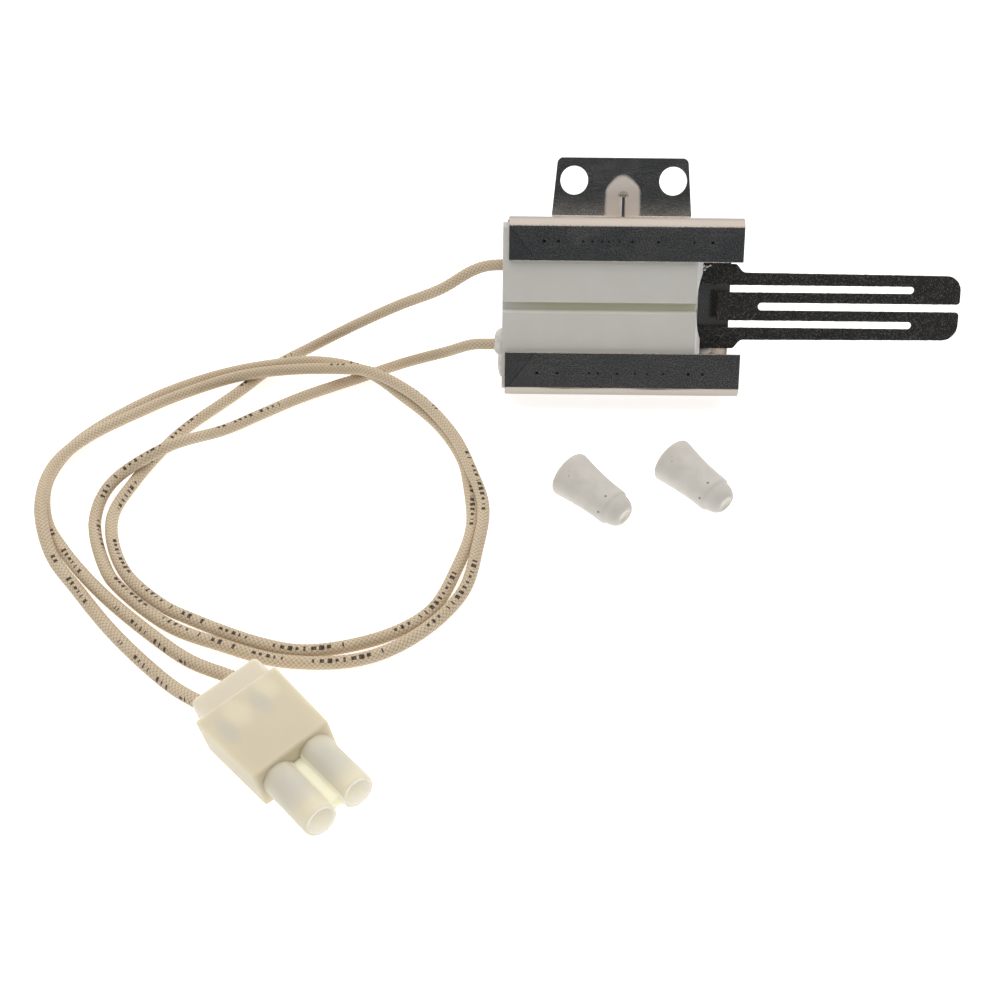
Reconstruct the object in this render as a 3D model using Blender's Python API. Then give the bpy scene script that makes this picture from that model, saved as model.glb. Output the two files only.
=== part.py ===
"""Flat silicon-carbide hot-surface igniter with its two braided leads, two-way plug and two ceramic wire nuts.

Units are metres and +Z is up. The origin is midway between the two screw holes, on the rear face of the
mounting tab. +X runs along the element to its tip. The igniter leans back on the bench, so its pieces are
modelled in the frame of the empty called igniter_frame (X along the element, Y up its face, Z out of its
face), and the plug's pieces in that of plug_frame (X out of the plug's nose).
"""

import math

import bmesh
import bpy
from mathutils import Matrix, Vector

MM = 0.001
GAP = 0.3 * MM

# Pose on the bench. The tab lies in the plane of the channel's back.
LEAN = math.radians(60)
BENCH_Z = -47.0 * MM

# Mounting bracket: a channel of bent sheet with a tab lanced up from its top flange
SHEET = 0.9 * MM
BEND_RADIUS = 2.6 * MM
BEND_STEPS = 5
CHANNEL_HEIGHT = 45.05 * MM
CHANNEL_DEPTH = 12.0 * MM
LIP_FRONT_Z = 5.9 * MM
UPPER_LIP_DEPTH = 10.95 * MM
LOWER_LIP_DEPTH = 11.05 * MM
UPPER_LIP_ENDS = (-29.3 * MM, 29.75 * MM)
LOWER_LIP_ENDS = (-30.05 * MM, 30.2 * MM)
BACK_PLATE_ENDS = (-29.6 * MM, 28.75 * MM)
HOLE_PITCH = 25.4 * MM
HOLE_RADIUS = 3.55 * MM
HOLE_Y = 0.21 * MM
CHANNEL_TOP_Y = -8.9 * MM
TAB_TOP_Y = 5.9 * MM
TAB_MIDDLE_X = -0.28 * MM
TAB_BASE_HALF = 18.0 * MM
TAB_TOP_HALF = 16.7 * MM
TAB_CORNER_RADIUS = 1.5 * MM
TAB_BEND_RADIUS = 1.9 * MM
LANCE_HALF = 21.5 * MM
LANCE_DROP = 15.0 * MM
GUSSET_WIDTH = 1.46 * MM
GUSSET_TOP_Y = -2.5 * MM
GUSSET_PROUD = 1.0 * MM

# Ceramic block, split into a front and a rear half
BLOCK_LENGTH = 50.8 * MM
BLOCK_LEFT_X = -30.85 * MM
BLOCK_HEIGHT = 42.0 * MM
BLOCK_CHAMFER = 1.3 * MM
GROOVE_WIDTH = 2.4 * MM
GROOVE_DEPTH = 1.2 * MM
POCKET_HEIGHT = 25.4 * MM
POCKET_HALF_DEPTH = 2.0 * MM
POCKET_LEFT_X = -22.6 * MM

# Element: a plate cut into a W, with its two pads in the block
ELEMENT_THICKNESS = 1.0 * MM
ELEMENT_ROOT_X = 3.0 * MM
ELEMENT_MIDDLE_Y = -31.05 * MM
ELEMENT_TIP_X = 87.1 * MM
PAD_END_X = 28.6 * MM
PAD_FILLET_RUN = 2.0 * MM
JUNCTION_X = 24.6 * MM
MIDDLE_SLOT_X = 35.15 * MM
SIDE_SLOT_END_X = 75.2 * MM
PAD_OUTER_Y = 11.1 * MM
LEG_OUTER_Y = 8.6 * MM
TIP_OUTER_Y = 8.22 * MM
SIDE_SLOT_OUTER_Y = 5.4 * MM
SIDE_SLOT_INNER_Y = 3.6 * MM
MIDDLE_SLOT_HALF = 0.97 * MM
TIP_RADIUS = 3.6 * MM
SLOT_RADIUS = 0.9 * MM

# Lead joints inside the block
LEAD_RADIUS = 1.4 * MM
LEAD_OFFSET_Y = 10.05 * MM
LEAD_CHANNEL_RADIUS = 2.8 * MM
LEAD_CEMENT_BORE = 1.7 * MM
LEAD_INNER_END_X = -23.5 * MM
CORE_RADIUS = 0.6 * MM
FERRULE_RADIUS = 1.6 * MM
FERRULE_BORE = 0.95 * MM
FERRULE_ENDS = (-14.0 * MM, -6.7 * MM)
STRIP_WIDTH = 3.6 * MM
STRIP_THICKNESS = 0.4 * MM
STRIP_RIGHT_X = 12.0 * MM

# Plug
PLUG_PLACE = (-81.5 * MM, -137.05 * MM, -41.8 * MM)
PLUG_TURN = (math.radians(5.7), math.radians(-9.2), math.radians(-48.9))
PLUG_BODY = (20.6 * MM, 17.1 * MM, 8.9 * MM)
PLUG_COLLAR = (5.0 * MM, 15.4 * MM, 8.2 * MM)
BARREL_LENGTH = 14.2 * MM
BARREL_RADIUS = 3.4 * MM
BARREL_BORE = 2.6 * MM
BARREL_PITCH = 8.2 * MM
CONTACT_ROOM = 2.35 * MM
LEAD_ENTRY = 1.95 * MM
CONTACT_RADIUS = 1.8 * MM
CONTACT_BORE = 1.0 * MM

# Wire nuts: radius against distance from the mouth
NUT_LENGTH = 18.6 * MM
NUT_MOUTH_RADIUS = 5.8 * MM
NUT_SHOULDER_RADIUS = 4.7 * MM
NUT_SHOULDER_AT = 14.4 * MM
NUT_SAG = math.radians(3.9)
NUTS = {
    "wire_nut_left": ((-14.5 * MM, -67.0 * MM), math.radians(-46.7)),
    "wire_nut_right": ((10.6 * MM, -61.5 * MM), math.radians(-50.8)),
}

# Routes of the two leads, in millimetres, from the block to the plug
UPPER_LEAD_ROUTE = [
    (-23.5, -16.1, -15.6), (-34.2, -16.1, -15.6), (-38.5, -16.5, -16.9), (-46.6, -17.4, -21.9),
    (-57.9, -15.0, -28.6), (-69.5, -13.6, -35.6), (-82.0, -14.9, -42.2), (-92.3, -19.9, -45.5),
    (-101.5, -33.3, -45.5), (-110.5, -45.7, -45.5), (-114.1, -52.3, -45.5), (-119.5, -66.8, -45.5),
    (-121.8, -80.1, -45.5), (-115.3, -96.5, -45.5), (-104.2, -107.1, -45.5), (-98.1, -110.5, -45.5),
    (-81.0, -117.7, -45.5), (-70.8, -119.4, -45.5), (-55.0, -115.1, -45.5), (-45.7, -107.8, -45.5),
    (-40.5, -95.0, -45.5), (-37.5, -81.8, -45.5), (-38.4, -68.1, -45.5), (-40.5, -57.3, -45.5),
    (-47.0, -44.7, -45.0), (-55.9, -35.9, -43.4), (-67.1, -25.9, -42.4), (-79.7, -21.4, -42.7),
    (-93.9, -23.7, -42.5), (-108.8, -26.6, -44.6), (-122.7, -35.0, -45.5), (-137.2, -52.7, -45.5),
    (-140.6, -66.7, -45.5), (-137.2, -80.5, -45.5), (-130.3, -90.7, -45.5), (-118.7, -103.4, -45.5),
    (-105.2, -115.2, -45.5), (-95.1, -122.9, -45.0), (-84.6, -129.1, -42.6), (-81.3, -131.1, -42.1),
]
LOWER_LEAD_ROUTE = [
    (-23.5, -26.1, -33.0), (-34.2, -26.1, -33.0), (-38.5, -25.7, -33.5), (-45.5, -23.4, -37.6),
    (-56.7, -21.6, -42.6), (-68.7, -24.6, -45.5), (-83.3, -33.3, -45.5), (-93.0, -40.7, -45.5),
    (-100.7, -48.0, -44.6), (-113.0, -58.9, -41.5), (-124.2, -69.0, -44.1), (-125.8, -80.1, -45.5),
    (-119.1, -96.7, -45.5), (-115.0, -101.9, -45.5), (-101.4, -113.0, -45.5), (-89.6, -118.0, -45.5),
    (-75.9, -122.2, -45.5), (-59.7, -121.5, -45.5), (-48.6, -115.2, -45.3), (-39.1, -103.4, -44.7),
    (-36.0, -89.9, -44.2), (-34.8, -76.8, -43.3), (-37.8, -65.2, -42.7), (-43.1, -51.5, -42.1),
    (-52.9, -38.5, -40.7), (-65.2, -30.1, -39.4), (-72.6, -27.7, -40.4), (-86.5, -26.3, -41.8),
    (-100.2, -28.1, -42.8), (-115.9, -34.7, -44.6), (-123.3, -40.7, -44.6), (-134.6, -53.5, -43.5),
    (-139.1, -64.5, -42.7), (-137.7, -80.1, -41.9), (-132.1, -93.2, -44.1), (-124.0, -102.8, -45.4),
    (-112.3, -115.9, -45.5), (-98.1, -128.8, -45.5), (-90.4, -134.9, -43.3), (-87.4, -136.5, -42.9),
]
LEAD_POINTS = 80

# Worked out from the above
CHANNEL_BOTTOM_Y = CHANNEL_TOP_Y - CHANNEL_HEIGHT
MIDDLE_Y = (CHANNEL_TOP_Y + CHANNEL_BOTTOM_Y) / 2 + 0.03 * MM
CHANNEL_REAR_Z = LIP_FRONT_Z - CHANNEL_DEPTH
TAB_FRONT_Z = CHANNEL_REAR_Z + SHEET
LANCE_FRONT_Z = CHANNEL_REAR_Z + BEND_RADIUS + 0.15 * MM
BLOCK_RIGHT_X = BLOCK_LEFT_X + BLOCK_LENGTH
BLOCK_FRONT_Z = LIP_FRONT_Z - SHEET - GAP
BLOCK_REAR_Z = CHANNEL_REAR_Z + SHEET + GAP
ALONG_X = Matrix.Rotation(math.pi / 2, 4, "Y")
ACROSS_X = Matrix(((0, 0, 1, 0), (1, 0, 0, 0), (0, 1, 0, 0), (0, 0, 0, 1)))


def clear_scene():
    for obj in list(bpy.data.objects):
        bpy.data.objects.remove(obj, do_unlink=True)


def material(name, colour, roughness, metallic=0.0):
    made = bpy.data.materials.new(name)
    made.use_nodes = True
    shader = made.node_tree.nodes["Principled BSDF"]
    shader.inputs["Base Color"].default_value = (*colour, 1.0)
    shader.inputs["Roughness"].default_value = roughness
    shader.inputs["Metallic"].default_value = metallic
    return made


def frame_empty(name, place, turn):
    empty = bpy.data.objects.new(name, None)
    bpy.context.scene.collection.objects.link(empty)
    empty.location = place
    empty.rotation_euler = turn
    return empty


def solid(name, shape, finish, parent=None, turn=None):
    """An object from (points, faces), with its faces turned outwards and round stretches shaded smooth."""
    points, faces = shape
    mesh = bpy.data.meshes.new(name)
    mesh.from_pydata([tuple(p) for p in points], [], faces)
    if turn:
        mesh.transform(turn)
    work = bmesh.new()
    work.from_mesh(mesh)
    bmesh.ops.recalc_face_normals(work, faces=work.faces)
    work.to_mesh(mesh)
    work.free()
    mesh.shade_smooth()
    mesh.set_sharp_from_angle(angle=math.radians(35))
    mesh.materials.append(finish)
    obj = bpy.data.objects.new(name, mesh)
    bpy.context.scene.collection.objects.link(obj)
    obj.parent = parent
    return obj


def boolean(obj, other, operation):
    other.hide_render = True
    other.display_type = "WIRE"
    modifier = obj.modifiers.new(other.name, "BOOLEAN")
    modifier.operation = operation
    modifier.object = other


def prism(outline, low, high):
    """A polygon in X and Y, carried from low to high along Z."""
    count = len(outline)
    points = [(x, y, low) for x, y in outline] + [(x, y, high) for x, y in outline]
    sides = [(i, (i + 1) % count, count + (i + 1) % count, count + i) for i in range(count)]
    return points, [tuple(range(count))[::-1], tuple(range(count, 2 * count)), *sides]


def box(low, high):
    outline = [(low[0], low[1]), (high[0], low[1]), (high[0], high[1]), (low[0], high[1])]
    return prism(outline, low[2], high[2])


def rounded_box(low, high, radius, segments=2):
    work = bmesh.new()
    bmesh.ops.create_cube(work, size=1.0)
    size = [b - a for a, b in zip(low, high)]
    middle = Vector((a + b) / 2 for a, b in zip(low, high))
    bmesh.ops.scale(work, vec=size, verts=work.verts)
    bmesh.ops.translate(work, vec=middle, verts=work.verts)
    bmesh.ops.bevel(
        work, geom=work.edges[:], offset=radius, segments=segments, profile=0.5, affect="EDGES"
    )
    work.verts.index_update()
    shape = [v.co.copy() for v in work.verts], [tuple(v.index for v in f.verts) for f in work.faces]
    work.free()
    return shape


def rounded_outline(corners, steps=5):
    """A closed outline from (x, y, radius) corners, each rounded by an arc."""
    outline = []
    count = len(corners)
    for i, (x, y, radius) in enumerate(corners):
        here = Vector((x, y))
        if radius == 0:
            outline.append((x, y))
            continue
        before = (Vector(corners[i - 1][:2]) - here).normalized()
        after = (Vector(corners[(i + 1) % count][:2]) - here).normalized()
        half = before.angle(after) / 2
        centre = here + (before + after).normalized() * radius / math.sin(half)
        start = here + before * radius / math.tan(half) - centre
        sweep = start.angle_signed(here + after * radius / math.tan(half) - centre)
        for step in range(steps + 1):
            turned = Matrix.Rotation(-sweep * step / steps, 2) @ start
            outline.append(tuple(centre + turned))
    return outline


def lathe(profile, segments=32):
    """A (radius, z) profile turned about Z. It starts and ends on the axis, or closes on itself as a ring."""
    points, rows = [], []
    for radius, z in profile:
        if radius == 0:
            rows.append([len(points)] * segments)
            points.append((0, 0, z))
            continue
        rows.append(list(range(len(points), len(points) + segments)))
        for i in range(segments):
            angle = 2 * math.pi * i / segments
            points.append((radius * math.cos(angle), radius * math.sin(angle), z))
    pairs = list(zip(rows, rows[1:]))
    if profile[0][0] > 0:
        pairs.append((rows[-1], rows[0]))
    faces = []
    for a, b in pairs:
        for i in range(segments):
            j = (i + 1) % segments
            faces.append(tuple(dict.fromkeys((a[i], a[j], b[j], b[i]))))
    return points, faces


def rod(radius, low, high, segments=32):
    return lathe([(0, low), (radius, low), (radius, high), (0, high)], segments)


def tube(radius, bore, low, high, segments=32):
    return lathe([(bore, low), (radius, low), (radius, high), (bore, high)], segments)


def along_x(y, z=0.0):
    """Lays a turned shape's axis along X, at this height and depth."""
    return Matrix.Translation((0, y, z)) @ ALONG_X


def bent_path(corners, radius):
    """(point, direction, ends) along straight runs in Y and Z joined by arcs. A corner is (y, z, ends in X)."""
    path = []
    for i, (y, z, ends) in enumerate(corners):
        here = Vector((y, z))
        if i in (0, len(corners) - 1):
            other = Vector(corners[1 if i == 0 else -2][:2])
            way = (other - here if i == 0 else here - other).normalized()
            path.append((here, way, ends))
            continue
        way_in = (here - Vector(corners[i - 1][:2])).normalized()
        way_out = (Vector(corners[i + 1][:2]) - here).normalized()
        turn = way_in.angle_signed(way_out)
        reach = radius * math.tan(abs(turn) / 2)
        centre = here - way_in * reach + (way_out - way_in * way_in.dot(way_out)).normalized() * radius
        for step in range(BEND_STEPS + 1):
            rotation = Matrix.Rotation(-turn * step / BEND_STEPS, 2)
            point = centre + rotation @ (here - way_in * reach - centre)
            path.append((point, rotation @ way_in, ends))
    return path


def bent_sheet(path, thickness):
    """Sheet metal along a path in Y and Z, from the first to the second of each point's ends in X."""
    points, faces = [], []
    for point, way, (left, right) in path:
        side = Vector((-way.y, way.x)) * thickness / 2
        outer, inner = point + side, point - side
        points += [(left, *outer), (right, *outer), (right, *inner), (left, *inner)]
    for i in range(len(path) - 1):
        for k in range(4):
            a, b = 4 * i + k, 4 * i + (k + 1) % 4
            faces.append((a, b, b + 4, a + 4))
    last = 4 * (len(path) - 1)
    faces += [(0, 1, 2, 3), (last + 3, last + 2, last + 1, last)]
    return points, faces


def make_bracket(frame, steel):
    middle = SHEET / 2
    front, rear = LIP_FRONT_Z - middle, CHANNEL_REAR_Z + middle
    top, bottom = CHANNEL_TOP_Y - middle, CHANNEL_BOTTOM_Y + middle
    channel = bent_path(
        [
            (CHANNEL_BOTTOM_Y + LOWER_LIP_DEPTH, front, LOWER_LIP_ENDS),
            (bottom, front, LOWER_LIP_ENDS),
            (bottom, rear, BACK_PLATE_ENDS),
            (top, rear, BACK_PLATE_ENDS),
            (top, front, UPPER_LIP_ENDS),
            (CHANNEL_TOP_Y - UPPER_LIP_DEPTH, front, UPPER_LIP_ENDS),
        ],
        BEND_RADIUS - middle,
    )
    bracket = solid("mounting_bracket", bent_sheet(channel, SHEET), steel, frame)

    # the window that the tab is lanced out of, in the back plate and the bend above it
    window = solid(
        "cut_lance_window",
        rounded_box(
            (-LANCE_HALF, CHANNEL_TOP_Y - LANCE_DROP, CHANNEL_REAR_Z - 3 * MM),
            (LANCE_HALF, CHANNEL_TOP_Y + 3 * MM, LANCE_FRONT_Z),
            TAB_CORNER_RADIUS / 2,
        ),
        steel,
        frame,
    )
    boolean(bracket, window, "DIFFERENCE")

    # the tab's bend is a hair thinner than the sheet, so that no two joined faces coincide
    base_left, base_right = TAB_MIDDLE_X - TAB_BASE_HALF, TAB_MIDDLE_X + TAB_BASE_HALF
    ends = (base_left, base_right)
    bend = bent_path(
        [
            (top, LANCE_FRONT_Z + 1.4 * MM, ends),
            (top, rear, ends),
            (CHANNEL_TOP_Y + TAB_BEND_RADIUS, rear, ends),
        ],
        TAB_BEND_RADIUS - middle,
    )
    tab_bend = solid("join_tab_bend", bent_sheet(bend, 0.96 * SHEET), steel, frame)
    boolean(bracket, tab_bend, "UNION")
    top_left, top_right = TAB_MIDDLE_X - TAB_TOP_HALF, TAB_MIDDLE_X + TAB_TOP_HALF
    foot_y = CHANNEL_TOP_Y + 0.6 * TAB_BEND_RADIUS
    plate = solid(
        "join_tab_plate",
        prism(
            rounded_outline(
                [
                    (base_left, foot_y, 0),
                    (base_right, foot_y, 0),
                    (top_right, TAB_TOP_Y, TAB_CORNER_RADIUS),
                    (top_left, TAB_TOP_Y, TAB_CORNER_RADIUS),
                ]
            ),
            CHANNEL_REAR_Z,
            TAB_FRONT_Z,
        ),
        steel,
        frame,
    )
    boolean(bracket, plate, "UNION")
    rib_z = TAB_FRONT_Z + GUSSET_PROUD
    gusset = solid(
        "join_tab_gusset",
        prism(
            [
                (top, rear),
                (top, rib_z + 1.6 * MM),
                (CHANNEL_TOP_Y + 0.2 * MM, rib_z + 1.2 * MM),
                (CHANNEL_TOP_Y + 1.4 * MM, rib_z),
                (GUSSET_TOP_Y - 0.6 * MM, rib_z),
                (GUSSET_TOP_Y - 0.1 * MM, rib_z - 0.5 * MM),
                (GUSSET_TOP_Y, rear),
            ],
            -GUSSET_WIDTH / 2,
            GUSSET_WIDTH / 2,
        ),
        steel,
        frame,
        ACROSS_X,
    )
    boolean(bracket, gusset, "UNION")
    for side, x in (("left", -HOLE_PITCH / 2), ("right", HOLE_PITCH / 2)):
        drill = rod(HOLE_RADIUS, CHANNEL_REAR_Z - 2 * MM, TAB_FRONT_Z + 2 * MM)
        hole = solid(f"cut_hole_{side}", drill, steel, frame, Matrix.Translation((x, HOLE_Y, 0)))
        boolean(bracket, hole, "DIFFERENCE")


def half_block_outline(face_z, split_z, groove):
    """Section of one half of the block in Y and Z, chamfered along its outer edges."""
    low, high = MIDDLE_Y - BLOCK_HEIGHT / 2, MIDDLE_Y + BLOCK_HEIGHT / 2
    inward = BLOCK_CHAMFER if face_z > split_z else -BLOCK_CHAMFER
    outline = [(low, split_z), (high, split_z), (high, face_z - inward), (high - BLOCK_CHAMFER, face_z)]
    if groove:
        centre, half = MIDDLE_Y, GROOVE_WIDTH / 2
        floor_z = face_z - GROOVE_DEPTH
        outline += [(centre + half, face_z), (centre + half, floor_z)]
        outline += [(centre - half, floor_z), (centre - half, face_z)]
    return outline + [(low + BLOCK_CHAMFER, face_z), (low, face_z - inward)]


def make_block(frame, ceramic):
    half_pocket = POCKET_HEIGHT / 2
    pocket = solid(
        "cut_pocket",
        box(
            (POCKET_LEFT_X, MIDDLE_Y - half_pocket, -POCKET_HALF_DEPTH),
            (BLOCK_RIGHT_X + 3 * MM, MIDDLE_Y + half_pocket, POCKET_HALF_DEPTH),
        ),
        ceramic,
        frame,
    )
    cutters = [pocket]
    for side, y in (("upper", MIDDLE_Y + LEAD_OFFSET_Y), ("lower", MIDDLE_Y - LEAD_OFFSET_Y)):
        way = rod(LEAD_CHANNEL_RADIUS, BLOCK_LEFT_X - 3 * MM, POCKET_LEFT_X + 1 * MM)
        cutters.append(solid(f"cut_{side}_lead_channel", way, ceramic, frame, along_x(y)))
    halves = {
        "ceramic_front_half": half_block_outline(BLOCK_FRONT_Z, GAP / 2, True),
        "ceramic_rear_half": half_block_outline(BLOCK_REAR_Z, -GAP / 2, False),
    }
    for name, outline in halves.items():
        shape = prism(outline, BLOCK_LEFT_X, BLOCK_RIGHT_X)
        half = solid(name, shape, ceramic, frame, ACROSS_X)
        for cutter in cutters:
            boolean(half, cutter, "DIFFERENCE")


def make_element(frame, carbide):
    tip, slot = TIP_RADIUS, SLOT_RADIUS
    upper = [
        (ELEMENT_TIP_X, MIDDLE_SLOT_HALF, slot),
        (ELEMENT_TIP_X, TIP_OUTER_Y, tip),
        (PAD_END_X + PAD_FILLET_RUN, LEG_OUTER_Y, 1.5 * MM),
        (PAD_END_X, PAD_OUTER_Y, 0.7 * MM),
        (ELEMENT_ROOT_X, PAD_OUTER_Y, 0),
        (ELEMENT_ROOT_X, SIDE_SLOT_OUTER_Y, 0),
        (SIDE_SLOT_END_X, SIDE_SLOT_OUTER_Y, slot),
        (SIDE_SLOT_END_X, SIDE_SLOT_INNER_Y, slot),
        (JUNCTION_X, SIDE_SLOT_INNER_Y, slot / 3),
    ]
    lower = [(x, -y, radius) for x, y, radius in reversed(upper)]
    slot_end = [
        (MIDDLE_SLOT_X, -MIDDLE_SLOT_HALF, slot),
        (MIDDLE_SLOT_X, MIDDLE_SLOT_HALF, slot),
    ]
    outline = [(x, y + ELEMENT_MIDDLE_Y) for x, y in rounded_outline(upper + lower + slot_end)]
    plate = prism(outline, -ELEMENT_THICKNESS / 2, ELEMENT_THICKNESS / 2)
    solid("silicon_carbide_element", plate, carbide, frame)


def make_element_cement(frame, cement):
    """The plug of cement at the block's mouth, hollowed towards its middle, around both pads."""
    left, half = BLOCK_RIGHT_X - 3.6 * MM, POCKET_HEIGHT / 2 - GAP
    outline = rounded_outline(
        [
            (left, MIDDLE_Y - half, 0),
            (BLOCK_RIGHT_X + 1.2 * MM, MIDDLE_Y - half, 0.5 * MM),
            (BLOCK_RIGHT_X + 0.9 * MM, MIDDLE_Y - 0.55 * half, 1.5 * MM),
            (BLOCK_RIGHT_X - 0.5 * MM, MIDDLE_Y - 0.2 * half, 2 * MM),
            (BLOCK_RIGHT_X - 0.5 * MM, MIDDLE_Y + 0.2 * half, 2 * MM),
            (BLOCK_RIGHT_X + 1.2 * MM, MIDDLE_Y + 0.55 * half, 1.5 * MM),
            (BLOCK_RIGHT_X + 2.0 * MM, MIDDLE_Y + half, 0.5 * MM),
            (left, MIDDLE_Y + half, 0),
        ],
        3,
    )
    depth = POCKET_HALF_DEPTH - GAP
    plug = solid("element_cement", prism(outline, -depth, depth), cement, frame)
    for side, sign in (("upper", 1), ("lower", -1)):
        inner, outer = sign * (SIDE_SLOT_OUTER_Y - GAP), sign * (PAD_OUTER_Y + GAP)
        reach = ELEMENT_THICKNESS / 2 + GAP
        slot = box(
            (left - 2 * MM, ELEMENT_MIDDLE_Y + min(inner, outer), -reach),
            (BLOCK_RIGHT_X + 5 * MM, ELEMENT_MIDDLE_Y + max(inner, outer), reach),
        )
        boolean(plug, solid(f"cut_{side}_pad_slot", slot, cement, frame), "DIFFERENCE")


def make_lead_joint(frame, side, sign, finishes):
    """What joins one lead to its pad: the bared core, the crimp, the terminal strip and the rear cement."""
    y = MIDDLE_Y + sign * LEAD_OFFSET_Y
    core = rod(CORE_RADIUS, LEAD_INNER_END_X + GAP, FERRULE_ENDS[1] - 1.2 * MM, 12)
    solid(f"{side}_lead_core", core, finishes["copper"], frame, along_x(y))
    ferrule = tube(FERRULE_RADIUS, FERRULE_BORE, *FERRULE_ENDS, 20)
    solid(f"{side}_crimp_ferrule", ferrule, finishes["nickel"], frame, along_x(y))
    strip_y = ELEMENT_MIDDLE_Y + sign * (SIDE_SLOT_OUTER_Y + PAD_OUTER_Y) / 2
    strip_z = ELEMENT_THICKNESS / 2 + GAP
    strip = box(
        (FERRULE_ENDS[1] + GAP, strip_y - STRIP_WIDTH / 2, strip_z),
        (STRIP_RIGHT_X, strip_y + STRIP_WIDTH / 2, strip_z + STRIP_THICKNESS),
    )
    solid(f"{side}_terminal_strip", strip, finishes["nickel"], frame)
    sleeve_radius = LEAD_CHANNEL_RADIUS - GAP
    dome_radius, dome_height = (3.9 * MM, 1.9 * MM) if side == "lower" else (2.9 * MM, 0.9 * MM)
    face = BLOCK_LEFT_X - GAP
    cement = lathe(
        [
            (LEAD_CEMENT_BORE, face - dome_height),
            (0.55 * dome_radius, face - dome_height),
            (0.86 * dome_radius, face - 0.62 * dome_height),
            (dome_radius, face),
            (sleeve_radius, face),
            (sleeve_radius, LEAD_INNER_END_X - 2 * MM),
            (LEAD_CEMENT_BORE, LEAD_INNER_END_X - 2 * MM),
        ],
        24,
    )
    solid(f"{side}_lead_cement", cement, finishes["cement"], frame, along_x(y))


def smooth_route(route, count):
    """Points at even distances along the centripetal Catmull-Rom curve through the route, in metres."""
    knots = [Vector(p) * MM for p in route]
    knots = [2 * knots[0] - knots[1], *knots, 2 * knots[-1] - knots[-2]]
    dense = []
    for p0, p1, p2, p3 in zip(knots, knots[1:], knots[2:], knots[3:]):
        a, b, c = ((q - p).length ** 0.5 for p, q in ((p0, p1), (p1, p2), (p2, p3)))
        leave = ((p1 - p0) / a - (p2 - p0) / (a + b) + (p2 - p1) / b) * b
        arrive = ((p2 - p1) / b - (p3 - p1) / (b + c) + (p3 - p2) / c) * b
        for step in range(12):
            t = step / 12
            dense.append(
                (2 * t**3 - 3 * t**2 + 1) * p1
                + (t**3 - 2 * t**2 + t) * leave
                + (3 * t**2 - 2 * t**3) * p2
                + (t**3 - t**2) * arrive
            )
    dense.append(knots[-2])
    travelled = [0.0]
    for p, q in zip(dense, dense[1:]):
        travelled.append(travelled[-1] + (q - p).length)
    points, at = [], 0
    for i in range(count):
        target = travelled[-1] * i / (count - 1)
        while at < len(dense) - 2 and travelled[at + 1] < target:
            at += 1
        share = (target - travelled[at]) / (travelled[at + 1] - travelled[at])
        points.append(dense[at].lerp(dense[at + 1], share))
    return points


def make_lead(name, route, braid):
    curve = bpy.data.curves.new(name, "CURVE")
    curve.dimensions = "3D"
    curve.bevel_depth = LEAD_RADIUS
    curve.bevel_resolution = 2
    curve.use_fill_caps = True
    curve.materials.append(braid)
    points = smooth_route(route, LEAD_POINTS)
    spline = curve.splines.new("POLY")
    spline.points.add(len(points) - 1)
    for knot, point in zip(spline.points, points):
        knot.co = (*point, 1.0)
    bpy.context.scene.collection.objects.link(bpy.data.objects.new(name, curve))


def make_plug(frame, finishes):
    length, width, depth = PLUG_BODY
    nylon = finishes["nylon"]
    body = rounded_box((0, -width / 2, -depth / 2), (length, width / 2, depth / 2), 0.7 * MM)
    housing = solid("plug_housing", body, nylon, frame)
    reach, collar_width, collar_depth = PLUG_COLLAR
    collar = rounded_box(
        (-reach, -collar_width / 2, -collar_depth / 2),
        (1.6 * MM, collar_width / 2, collar_depth / 2),
        1.1 * MM,
    )
    boolean(housing, solid("join_collar", collar, nylon, frame), "UNION")
    web = box((length - 1 * MM, -1 * MM, -0.6 * MM), (length + 0.85 * BARREL_LENGTH, 1 * MM, 0.6 * MM))
    boolean(housing, solid("join_barrel_web", web, nylon, frame), "UNION")
    nose = length + BARREL_LENGTH
    for side, y in (("left", -BARREL_PITCH / 2), ("right", BARREL_PITCH / 2)):
        barrel = lathe(
            [
                (0, length - 1.5 * MM),
                (BARREL_RADIUS, length - 1.5 * MM),
                (BARREL_RADIUS, nose - 0.5 * MM),
                (BARREL_RADIUS - 0.5 * MM, nose),
                (0, nose),
            ]
        )
        boolean(housing, solid(f"join_{side}_barrel", barrel, nylon, frame, along_x(y)), "UNION")
    for side, y in (("left", -BARREL_PITCH / 2), ("right", BARREL_PITCH / 2)):
        bore = lathe(
            [
                (0, -reach - 2 * MM),
                (CONTACT_ROOM, -reach - 2 * MM),
                (CONTACT_ROOM, -reach + 1.4 * MM),
                (LEAD_ENTRY, -reach + 1.6 * MM),
                (LEAD_ENTRY, 0),
                (CONTACT_ROOM, 0.8 * MM),
                (CONTACT_ROOM, 9 * MM),
                (BARREL_BORE, 10 * MM),
                (BARREL_BORE, nose + 2 * MM),
                (0, nose + 2 * MM),
            ],
            24,
        )
        boolean(housing, solid(f"cut_{side}_bore", bore, nylon, frame, along_x(y)), "DIFFERENCE")
        contact = tube(CONTACT_RADIUS, CONTACT_BORE, 2 * MM, nose - 4 * MM, 20)
        solid(f"{side}_plug_contact", contact, finishes["nickel"], frame, along_x(y))
        core = rod(CORE_RADIUS, -reach + 1.3 * MM, 7 * MM, 12)
        solid(f"{side}_plug_core", core, finishes["copper"], frame, along_x(y))


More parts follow.
